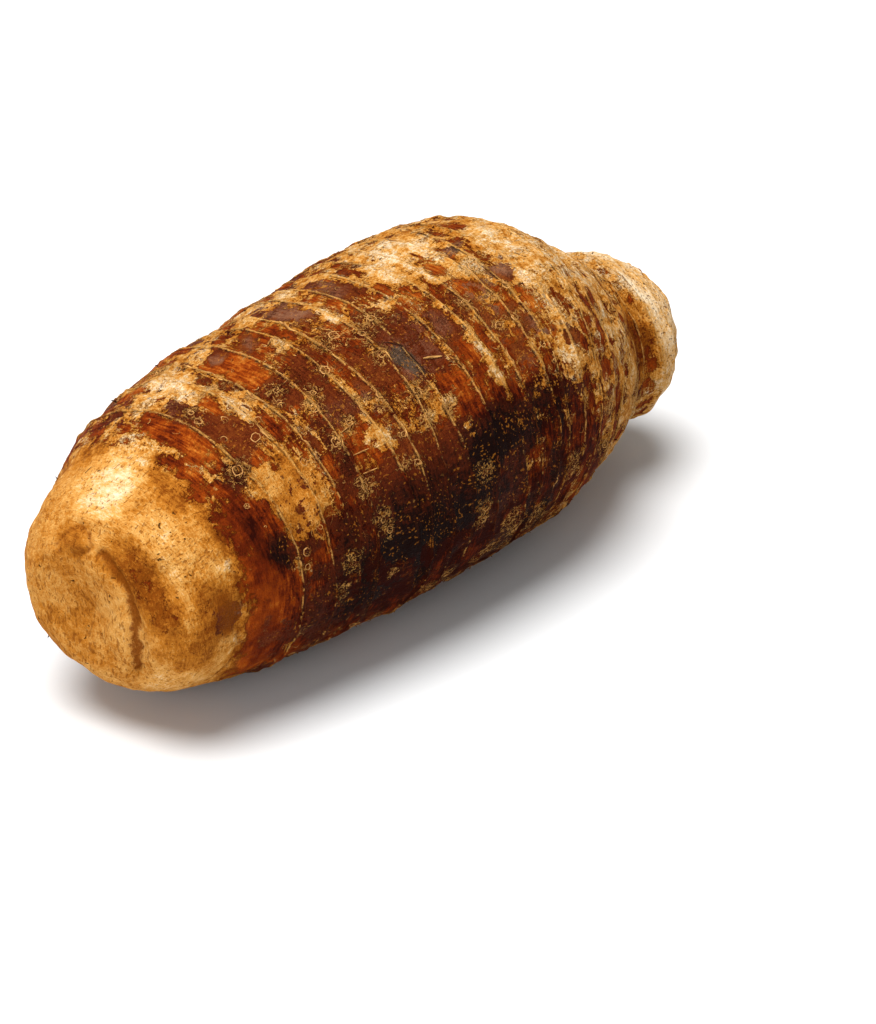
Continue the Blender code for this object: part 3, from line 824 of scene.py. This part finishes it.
def skin_material(c):
    """Malanga periderm: a smooth rust rind, a torn tan web of dry cork, and dark films of old leaf bases.

    The rind is thin and hard, so its colour drifts softly; the cork is matt, cracked and pitted, and throws
    small shadows; the films are smooth, with torn edges and a few crumbs on them.
    """
    material, tree = new_tree("malanga_periderm")
    p = skin_patterns(tree)
    colour = add(tree, "ValToRGB", (p["rind_tone"],), [
        (0.08, c.rind_shade), (0.28, c.rind_red), (0.48, c.rind_rust), (0.68, c.rind_orange),
        (0.95, c.cork_buff)])
    cover = add(tree, "ValToRGB", (p["cork_tone"],), [
        (0.05, c.cork_brown), (0.32, c.cork_tan), (0.58, c.cork_buff), (0.95, c.cork_cream)])
    film = add(tree, "ValToRGB", (p["film_tone"],), [
        (0.0, c.film_brown), (0.45, c.film_maroon), (1.0, c.film_black)])
    bloom_and_sheen = add(tree, "ValToRGB", (p["film_tone"],), [
        (0.05, c.film_pink_and_sheen), (0.6, c.film_maroon), (1.0, c.film_black)])
    slate_and_sheen = add(tree, "ValToRGB", (p["film_tone"],), [(0.1, c.film_slate_and_sheen), (1.0, c.film_black)])
    # These two paint the films' own grey-pink and grey, paled further by painted sheen on the smooth plates
    for mask, share, over in (("bloom_and_sheen", 0.75, bloom_and_sheen), ("slate_and_sheen", 0.9, slate_and_sheen)):
        amount = add(tree, "Math", (p[mask], share), **TIMES)
        film = add(tree, "Mix", {0: amount, 6: film, 7: over}, **PAINT)
    for mask, share, over in (
        ("edge_shadow", 0.5, c.rind_shade), ("cork_mask", 1.0, cover), ("fibres", 0.9, cover),
        # The pale flecks on the films, on this line, are partly painted glints
        ("cracks", 0.4, c.cork_brown), ("film_mask", 1.0, film), ("specks_and_glints", 0.5, c.cork_tan),
        # The dark gaps between crumbs, on this line, are painted shade
        ("dashes", 0.6, c.cork_brown), ("dots", 0.7, c.rind_red), ("gaps", 0.6, c.soil_and_shade),
        # The dark in the pits, on this line, is painted shade
        ("tangles", 0.75, c.crumb), ("crumb_mask", 0.7, c.crumb), ("pits", 0.85, c.soil_and_shade),
        # The dark line before each ring and the brown down the butt's creases, on this line, are painted
        # shade
        ("ring_shadow", 0.75, c.soil_and_shade), ("lip", 0.7, c.cork_buff), ("fold_shade_and_tint", 0.95, c.cork_brown),
    ):
        amount = add(tree, "Math", (p[mask], share), **TIMES)
        colour = add(tree, "Mix", {0: amount, 6: colour, 7: over}, **PAINT)
    normal = add(tree, "Bump", {"Height": p["skin_height"], "Distance": c.bump})
    shader = add(tree, "BsdfPrincipled", {
        "Base Color": colour, "Roughness": p["skin_roughness"], "Normal": normal, "IOR": DRY_IOR,
        "Specular IOR Level": 0.03})
    add(tree, "OutputMaterial", (shader,))
    return material


def fibre_material(c):
    """Dry root and leaf-base fibre: matt cream strands that are brown where they lie in dirt."""
    material, tree = new_tree("dry_fibre")
    place = add(tree, "TexCoord", out="Object")
    blots = add(tree, "TexNoise", {"Vector": place, "Scale": 1 / (6 * MM), "Detail": 2.0})
    fine = add(tree, "TexNoise", {"Vector": place, "Scale": 1 / (0.7 * MM), "Detail": 2.0})
    stain_and_shade = add(tree, "Attribute", out="Fac", attribute_name="stain_and_shade")
    blotched = add(tree, "Math", (blots, 0.25), operation="SUBTRACT")
    tone = add(tree, "Math", (fine, 0.5, blotched), **TIMES_PLUS)
    clean = add(tree, "ValToRGB", (tone,), [(0.3, c.brown), (0.72, c.pale)])
    colour = add(tree, "Mix", {0: stain_and_shade, 6: clean, 7: c.stained_and_shaded}, **PAINT)
    normal = add(tree, "Bump", {"Height": fine, "Distance": 0.15 * MM})
    shader = add(tree, "BsdfPrincipled", {
        "Base Color": colour, "Roughness": 0.8, "Normal": normal, "IOR": DRY_IOR,
        "Specular IOR Level": 0.05})
    add(tree, "OutputMaterial", (shader,))
    return material


def scar_material(c):
    """Root scar: a corky rim, pale and matt, round a dark, dry hollow."""
    material, tree = new_tree("root_scar_cork")
    rim = add(tree, "Attribute", out="Fac", attribute_name="rim")
    place = add(tree, "TexCoord", out="Object")
    fine = add(tree, "TexNoise", {"Vector": place, "Scale": 1 / (0.5 * MM), "Detail": 2.0})
    rimmed = add(tree, "Math", (rim, 0.25), operation="SUBTRACT")
    tone = add(tree, "Math", (fine, 0.5, rimmed), **TIMES_PLUS)
    colour = add(tree, "ValToRGB", (tone,), [(0.12, c.scar_hollow), (0.4, c.brown), (0.85, c.scar_rim)])
    normal = add(tree, "Bump", {"Height": fine, "Distance": 0.2 * MM})
    shader = add(tree, "BsdfPrincipled", {
        "Base Color": colour, "Roughness": 0.85, "Normal": normal, "IOR": DRY_IOR,
        "Specular IOR Level": 0.05})
    add(tree, "OutputMaterial", (shader,))
    return material


def old_root_material(name, c):
    """Dead root: black-brown and dusty, so it hardly shines. The same dark lies as painted shade in a crack.
    """
    material, tree = new_tree(name)
    place = add(tree, "TexCoord", out="Object")
    blots = add(tree, "TexNoise", {"Vector": place, "Scale": 1 / (1.5 * MM), "Detail": 2.0})
    colour = add(tree, "ValToRGB", (blots,), [(0.3, c.scar_hollow), (0.7, c.old_root)])
    shader = add(tree, "BsdfPrincipled", {
        "Base Color": colour, "Roughness": 0.9, "IOR": DRY_IOR, "Specular IOR Level": 0.1})
    add(tree, "OutputMaterial", (shader,))
    return material


def paper_material(c):
    """Seamless studio paper: light grey and matt, lit until it is white, with a faint cloudiness."""
    material, tree = new_tree("studio_paper")
    place = add(tree, "TexCoord", out="Object")
    clouds = add(tree, "TexNoise", {"Vector": place, "Scale": 2.5, "Detail": 2.0})
    colour = add(tree, "ValToRGB", (clouds,), [(0.0, [0.98 * part for part in c.paper]), (1.0, c.paper)])
    shader = add(tree, "BsdfPrincipled", {"Base Color": colour, "Roughness": 0.9, "IOR": DRY_IOR})
    add(tree, "OutputMaterial", (shader,))
    return material


def skin_rows():
    """Rows of the fine skin: one on each ring, four close to it and even rows between."""
    rows = set(np.arange(BUTT_ROW_GAP, RING_PLACES[1] - 1.2, BUTT_ROW_GAP).tolist())
    for ring, following in zip(RING_PLACES[1:-1], RING_PLACES[2:]):
        rows.add(ring)
        rows.update(ring + offset for offset in ROWS_AT_RING)
        first = ring + ROWS_AT_RING[-1]
        last = following + ROWS_AT_RING[0]
        gaps = max(1, round((last - first) / ROW_GAP))
        rows.update(first + (last - first) * step / gaps for step in range(1, gaps))
    return np.array([0.0] + sorted(rows) + [OUTLINE_END])


def add_attribute(mesh, name, values, kind="FLOAT"):
    """Give the mesh one value or vector for each of its points."""
    layer = mesh.attributes.new(name, kind, "POINT")
    key = "vector" if kind == "FLOAT_VECTOR" else "value"
    layer.data.foreach_set(key, np.ascontiguousarray(values, np.float32).ravel())


def pick(piece):
    """Select the piece alone and make it the active one."""
    bpy.ops.object.select_all(action="DESELECT")
    piece.select_set(True)
    bpy.context.view_layer.objects.active = piece


def adopt(piece):
    """Let a finished piece ride with the corm."""
    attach(piece, BODY)


class MALANGA_OT_skin(bpy.types.Operator):
    """Grow the ringed skin in place of the corm's plain solid"""

    bl_idname = "malanga.skin"
    bl_label = "Skin"

    def execute(self, context):
        rows = skin_rows()
        bpy.ops.object.select_all(action="DESELECT")
        bpy.ops.mesh.primitive_uv_sphere_add(segments=SKIN_SIDES, ring_count=len(rows) - 1, radius=1)
        skin = context.active_object
        skin.name = skin.data.name = "skin"
        mesh = skin.data
        directions = np.empty(len(mesh.vertices) * 3, np.float32)
        mesh.vertices.foreach_get("co", directions)
        directions = directions.reshape(-1, 3).astype(float)
        directions /= np.linalg.norm(directions, axis=1, keepdims=True)
        down = np.arccos(np.clip(-directions[:, 2], -1, 1)) / math.pi * (len(rows) - 1)
        place = rows[np.rint(down).astype(int)]
        turn = np.arctan2(directions[:, 1], directions[:, 0])
        spots, fields = skin_spots(place, turn)
        mesh.vertices.foreach_set("co", spots.astype(np.float32).ravel())
        band, _ = band_share(place)
        before_ring = np.minimum(RING_PLACES[band + 1] - place, RING_REACH)
        before_ring[band == len(RING_PLACES) - 2] = RING_REACH
        add_attribute(mesh, "grain", grain_points(place, turn), "FLOAT_VECTOR")
        crumbs = crumb_field(lean_with_rings(place, turn), turn)
        fields.update(crumbs=crumbs, from_ring=ring_gap(place), before_ring=before_ring)
        for name in FIELDS:
            add_attribute(mesh, name, fields[name])
        mesh.uv_layers[0].name = "OFBake"
        mesh.update()
        bpy.ops.object.shade_smooth()
        mesh.materials.append(skin_material(context.scene.malanga_skin))
        adopt(skin)
        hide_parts(NODE)
        return {"FINISHED"}


def strands(name, paths, radii, material, sides=0):
    """Lay one mesh of strands on the skin, each a path of (place, turn, lift) rows with its radii in mm."""
    rows = np.concatenate(paths)
    spots, fields = skin_spots(rows[:, 0], rows[:, 1], lift=rows[:, 2])
    # Fibres darken with the skin's dark field: their own dirt, and the painted shade of the lower flank
    stain_and_shade = smoothstep(0.2, 0.9, fields["dark"]) * (1 - fields["bare"])
    curve = bpy.data.curves.new(name, "CURVE")
    curve.dimensions = "3D"
    curve.bevel_depth = 1.0
    curve.bevel_resolution = sides
    curve.use_fill_caps = True
    for points, radius in zip(np.split(spots, np.cumsum([len(path) for path in paths])[:-1]), radii):
        spline = curve.splines.new("POLY")
        spline.points.add(len(points) - 1)
        spline.points.foreach_set("co", np.column_stack([points, np.ones(len(points))]).ravel())
        spline.points.foreach_set("radius", np.asarray(radius, float) * MM)
    piece = bpy.data.objects.new(name, curve)
    bpy.context.collection.objects.link(piece)
    pick(piece)
    bpy.ops.object.convert(target="MESH")
    piece = bpy.context.active_object
    piece.data.name = name
    piece.data.materials.clear()
    piece.data.materials.append(material)
    tree = kdtree.KDTree(len(spots))
    for index, spot in enumerate(spots.tolist()):
        tree.insert(spot, index)
    tree.balance()
    add_attribute(piece.data, "stain_and_shade", stain_and_shade[[tree.find(vertex.co)[1] for vertex in piece.data.vertices]])
    bpy.ops.object.shade_smooth()
    adopt(piece)


def beside(place, degrees, offsets):
    """Rows of (place, turn, lift) for offsets in mm along the corm, round it and off it, from a seen spot."""
    turns = math.radians(degrees) + offsets[:, 1] / max(radius_at(np.array([float(place)]))[0], 8)
    return np.column_stack([on_rings(place + offsets[:, 0], turns), turns, offsets[:, 2]])


def fibre_finish(context):
    """The one material of all fibres, made by the first piece that needs it."""
    return bpy.data.materials.get("dry_fibre") or fibre_material(context.scene.malanga_fibres)


class MALANGA_OT_ring_fibres(bpy.types.Operator):
    """Lay the frayed fibre left by each old leaf along its scar"""

    bl_idname = "malanga.ring_fibres"
    bl_label = "Leaf-scar fibres"

    def execute(self, context):
        least = context.scene.malanga_fibres.ring_radius / MM
        paths, thickness = [], []
        for number, (ring, _) in enumerate(RINGS):
            radius = radius_at(np.array([float(ring)]))[0]
            count = max(24, int(2 * math.pi * radius / FIBRE_STEP))
            turn = np.linspace(-math.pi, math.pi, count, endpoint=False)
            circle = np.column_stack([np.cos(turn), np.sin(turn)]) * radius
            spots = np.column_stack([np.full(count, ring * 3.7), circle])
            front = np.exp(-((off_turn(turn, 105) / 42) ** 4)) * (ring < 190)
            shown = noise_field(spots, 9, octaves=3, seed=21) + 0.2 * math.sin(number * 4.1)
            shown = shown + 0.45 * front - 0.15
            wander = 0.7 * noise_field(spots, 4.5, octaves=3, seed=22)
            thick = least + 0.26 * np.clip(noise_field(spots, 2.6, octaves=2, seed=23) + 0.35, 0, 1.2)
            thick *= 0.65 + 0.6 * front
            start = None
            for index in range(count + 1):
                visible = index < count and shown[index] > FIBRE_SHOWN
                if visible and start is None:
                    start = index
                if not visible and start is not None:
                    if index - start >= FEWEST_POINTS:
                        rows = [ring + wander[start:index], turn[start:index], np.full(index - start, 0.1)]
                        paths.append(np.column_stack(rows))
                        steps = np.arange(index - start)
                        taper = np.minimum(1, np.minimum(steps, steps[::-1]) / 2)
                        thickness.append(thick[start:index] * (0.35 + 0.65 * taper))
                    start = None
        strands("leaf_scar_fibres", paths, thickness, fibre_finish(context))
        return {"FINISHED"}


def build_scars(scars):
    """One mesh of all root scars: each a low crater with an uneven corky rim."""
    draw = random.Random(SCAR_SEED + 1)
    sides = SCAR_SIDES
    points, faces, rims = [], [], []
    for place, degrees, radius, _ in scars:
        first = len(rims)
        stretch = draw.uniform(0.75, 1.2)
        uneven = [draw.uniform(0.85, 1.15) for _ in range(sides)]
        hollow = draw.choice((0.0, 0.05, 0.1, 0.4))
        worn = draw.uniform(0, 2 * math.pi)
        wear = draw.choice((0.1, 0.25, 0.5))
        offsets = []
        for share, height, rim in SCAR_PROFILE:
            for side in range(sides):
                angle = 2 * math.pi * side / sides
                reach = radius * share * uneven[side]
                left = 1 - wear * (1 + math.cos(angle - worn)) / 2
                shown = rim * left + hollow * (rim < 0.3)
                x, y = reach * math.cos(angle) * stretch, reach * math.sin(angle)
                offsets.append((x, y, height * left, shown))
        offsets.append((0.0, 0.0, -0.12, hollow))
        offsets = np.array(offsets)
        points.append(beside(place, degrees, offsets))
        rims.extend(offsets[:, 3].tolist())
        for ring in range(len(SCAR_PROFILE) - 1):
            for side in range(sides):
                following = (side + 1) % sides
                a, b = first + ring * sides + side, first + ring * sides + following
                faces.append((a, b, b + sides, a + sides))
        last = first + (len(SCAR_PROFILE) - 1) * sides
        centre = len(rims) - 1
        for side in range(sides):
            faces.append((last + side, last + (side + 1) % sides, centre))
    rows = np.concatenate(points)
    spots, _ = skin_spots(rows[:, 0], rows[:, 1], lift=rows[:, 2])
    mesh = bpy.data.meshes.new("root_scars")
    mesh.from_pydata(spots.tolist(), [], faces)
    return mesh, rims


class MALANGA_OT_root_scars(bpy.types.Operator):
    """Set the ring-shaped scars of old roots into the skin"""

    bl_idname = "malanga.root_scars"
    bl_label = "Root scars"

    def execute(self, context):
        mesh, rims = build_scars(SCARS)
        add_attribute(mesh, "rim", rims)
        mesh.materials.append(scar_material(context.scene.malanga_fibres))
        piece = bpy.data.objects.new("root_scars", mesh)
        context.collection.objects.link(piece)
        pick(piece)
        bpy.ops.object.mode_set(mode="EDIT")
        bpy.ops.mesh.select_all(action="SELECT")
        bpy.ops.mesh.normals_make_consistent(inside=False)
        bpy.ops.object.mode_set(mode="OBJECT")
        bpy.ops.object.shade_smooth()
        adopt(piece)
        return {"FINISHED"}


class MALANGA_OT_root_hairs(bpy.types.Operator):
    """Scatter the short, curled root hairs and the strands round the scars"""

    bl_idname = "malanga.root_hairs"
    bl_label = "Root hairs"

    def execute(self, context):
        c = context.scene.malanga_fibres
        draw = random.Random(STRAND_SEED + 2)
        paths, thickness = [], []
        for place, degrees, radius, arms in SCARS:
            for _ in range(arms):
                offsets, shares = self.arm(draw, radius)
                paths.append(beside(place, degrees, offsets))
                thickness.append(shares * c.strand_radius / MM)
        for _ in range(c.hairs):
            place = draw.uniform(*HAIRY_PLACES)
            offsets, shares = self.hair(draw)
            paths.append(beside(place, draw.uniform(0, 360), offsets))
            thickness.append(shares * c.hair_radius / MM)
        strands("root_hairs", paths, thickness, fibre_finish(context))
        paths, thickness = [], []
        for place, degrees, height, radius in STUBS:
            share = np.linspace(0, 1, 5)
            lean = draw.uniform(-0.6, 0.6), draw.uniform(-0.6, 0.6)
            rise = height * share - 0.2
            offsets = np.column_stack([lean[0] * height * share**2, lean[1] * height * share**2, rise])
            paths.append(beside(place, degrees, offsets))
            thickness.append(radius * (1.2 - 0.8 * share))
        strands("root_stubs", paths, thickness, old_root_material("dry_root_stub", c), sides=1)
        return {"FINISHED"}

    def arm(self, draw, radius):
        """A short strand that leaves a scar's rim and bends back to the skin."""
        heading = draw.uniform(0, 2 * math.pi)
        steps = 7
        reach = draw.uniform(0.7, 2.4)
        bend = draw.uniform(-4.5, 4.5)
        start = radius * draw.uniform(0.2, 1.6)
        x, y = start * math.cos(heading), start * math.sin(heading)
        heading += draw.uniform(-1.6, 1.6)
        rise = draw.uniform(0.05, 0.35)
        offsets = []
        for step in range(steps):
            share = step / (steps - 1)
            offsets.append((x, y, 0.05 + rise * math.sin(math.pi * share)))
            heading += bend / steps
            x += reach / steps * math.cos(heading)
            y += reach / steps * math.sin(heading)
        return np.array(offsets), draw.uniform(0.6, 1.4) * (1 - 0.6 * np.linspace(0, 1, steps))

    def hair(self, draw):
        """A thin curled hair that lies near the skin."""
        heading = draw.uniform(0, 2 * math.pi)
        steps = draw.randint(8, 14)
        reach = draw.uniform(1.2, 4.2)
        curl = draw.uniform(-5.5, 5.5)
        rise = draw.uniform(0.1, 0.7)
        x = y = 0.0
        offsets = []
        for step in range(steps):
            share = step / (steps - 1)
            offsets.append((x, y, 0.08 + rise * math.sin(math.pi * share) ** 2))
            heading += curl / steps + draw.uniform(-0.25, 0.25)
            x += reach / steps * math.cos(heading)
            y += reach / steps * math.sin(heading)
        return np.array(offsets), draw.uniform(0.6, 1.4) * (1 - 0.5 * np.linspace(0, 1, steps))


class MALANGA_OT_crack_and_chips(bpy.types.Operator):
    """Lay a dark strand of painted shade in the smooth plate's crack, and loose chips of cork on the skin"""

    bl_idname = "malanga.crack_and_chips"
    bl_label = "Crack and chips"

    def execute(self, context):
        c = context.scene.malanga_fibres
        places, degrees = np.array(CRACK, float).T
        shares = np.linspace(0, len(CRACK) - 1, CRACK_POINTS)
        place = np.interp(shares, np.arange(len(CRACK)), places)
        turn = np.radians(np.interp(shares, np.arange(len(CRACK)), degrees))
        rows = np.column_stack([on_rings(place, turn), turn, np.zeros(CRACK_POINTS)])
        radii = CRACK_RADIUS * np.sin(np.linspace(0.15, math.pi - 0.1, CRACK_POINTS))
        strands("plate_crack_shadow", [rows], [radii], old_root_material("crack_shadow", c))
        paths, thickness = [], []
        for (place0, turn0), (place1, turn1), thick in CHIPS:
            shares = np.linspace(0, 1, 7)
            turn = np.radians(turn0 + (turn1 - turn0) * shares)
            place = on_rings(place0 + (place1 - place0) * shares, turn)
            paths.append(np.column_stack([place, turn, 0.1 + 0.2 * np.sin(math.pi * shares)]))
            thickness.append(thick * (0.45 + 0.55 * np.sin(math.pi * shares)))
        strands("cork_chips", paths, thickness, fibre_finish(context), sides=1)
        return {"FINISHED"}


# Where the broad soft light stands, seen from the corm: above it and a little to the left
SUN_PLACE = (-0.2, 0.08, 1.0)
# A soft fill beside the butt, low down, and how wide it is
FILL_PLACE = (-0.85, -0.35, 0.3)
FILL_WIDTH = 0.5
FLOOR_WIDTH = 12

# Camera: where it looks from, how far it stands and sees, and the spot of the form, in mm, that aims it
CAMERA_TURN = math.radians(-45.3)
CAMERA_RISE = math.radians(29.0)
CAMERA_DISTANCE = 1.2
CAMERA_SIGHT = 10
FOCAL_PIXELS = 4032
FRAME_WIDTH, FRAME_HEIGHT = 876, 1024
AIM_SPOT = np.array((0.0, 0.0, 50.0))
AIM_PIXEL = (365.0, 431.8)
SENSOR = 36.0


def aim_camera(context):
    """Stand the camera so that the aim spot falls on its pixel, turned towards the picture's middle."""
    back = Vector((
        math.sin(CAMERA_TURN) * math.cos(CAMERA_RISE),
        -math.cos(CAMERA_TURN) * math.cos(CAMERA_RISE),
        math.sin(CAMERA_RISE),
    ))
    target = Vector(to_frame(AIM_SPOT[None])[0])
    bpy.ops.object.camera_add(location=target + back * CAMERA_DISTANCE)
    camera = context.active_object
    camera.name = "camera"
    camera.data.sensor_fit = "VERTICAL"
    camera.data.sensor_height = SENSOR
    camera.data.lens = FOCAL_PIXELS / FRAME_HEIGHT * SENSOR
    camera.data.shift_x = (FRAME_WIDTH / 2 - AIM_PIXEL[0]) / FRAME_HEIGHT
    camera.data.shift_y = (AIM_PIXEL[1] - FRAME_HEIGHT / 2) / FRAME_HEIGHT
    camera.rotation_euler = back.to_track_quat("Z", "Y").to_euler()
    camera.data.clip_end = CAMERA_SIGHT
    context.scene.camera = camera


class MALANGA_OT_stage(bpy.types.Operator):
    """Set up the white floor, the soft lights and the camera"""

    bl_idname = "malanga.stage"
    bl_label = "Stage"

    def execute(self, context):
        c = context.scene.malanga_stage
        bpy.ops.object.select_all(action="DESELECT")
        bpy.ops.mesh.primitive_plane_add(size=FLOOR_WIDTH, location=(0, 0, LOWEST.z))
        floor = context.active_object
        floor.name = "floor"
        floor.data.materials.append(paper_material(c))
        bpy.ops.object.light_add(type="SUN", location=SUN_PLACE)
        sun = context.active_object
        sun.name = "soft_key"
        sun.data.energy = c.sun_strength
        sun.data.angle = c.sun_spread
        sun.rotation_euler = Vector(SUN_PLACE).to_track_quat("Z", "Y").to_euler()
        bpy.ops.object.light_add(type="AREA", location=FILL_PLACE)
        fill = context.active_object
        fill.name = "soft_fill"
        fill.data.size = FILL_WIDTH
        fill.data.energy = c.fill_power
        fill.rotation_euler = Vector(FILL_PLACE).to_track_quat("Z", "Y").to_euler()
        world = bpy.data.worlds.new("white_room")
        context.scene.world = world
        world.use_nodes = True
        background = world.node_tree.nodes["Background"]
        background.inputs["Color"].default_value = (1, 1, 1, 1)
        background.inputs["Strength"].default_value = c.room_strength
        context.scene.view_settings.view_transform = "Standard"
        aim_camera(context)
        return {"FINISHED"}


class MALANGA_PT_panel(bpy.types.Panel):
    """Steps of the malanga corm's finish"""

    bl_idname = "MALANGA_PT_panel"
    bl_label = "Malanga Corm"
    bl_space_type = "VIEW_3D"
    bl_region_type = "UI"
    bl_category = "Malanga"

    def draw(self, context):
        for step in STEPS:
            self.layout.operator(step.bl_idname)
        for name, group in SETTINGS.items():
            box = self.layout.box()
            for setting in group.__annotations__:
                box.prop(getattr(context.scene, name), setting)


SETTINGS = {
    "malanga_skin": MALANGA_PG_skin, "malanga_fibres": MALANGA_PG_fibres, "malanga_stage": MALANGA_PG_stage,
}
STEPS = (
    MALANGA_OT_skin, MALANGA_OT_ring_fibres, MALANGA_OT_root_scars, MALANGA_OT_root_hairs,
    MALANGA_OT_crack_and_chips, MALANGA_OT_stage,
)
CLASSES = tuple(SETTINGS.values()) + STEPS + (MALANGA_PT_panel,)


def register():
    for part in CLASSES:
        bpy.utils.register_class(part)
    for name, group in SETTINGS.items():
        setattr(bpy.types.Scene, name, PointerProperty(type=group))


def unregister():
    for name in SETTINGS:
        delattr(bpy.types.Scene, name)
    for part in reversed(CLASSES):
        bpy.utils.unregister_class(part)


def main():
    register()
    bpy.ops.malanga.skin()
    bpy.ops.malanga.ring_fibres()
    bpy.ops.malanga.root_scars()
    bpy.ops.malanga.root_hairs()
    bpy.ops.malanga.crack_and_chips()
    bpy.ops.malanga.stage()


if __name__ == "__main__":
    main()
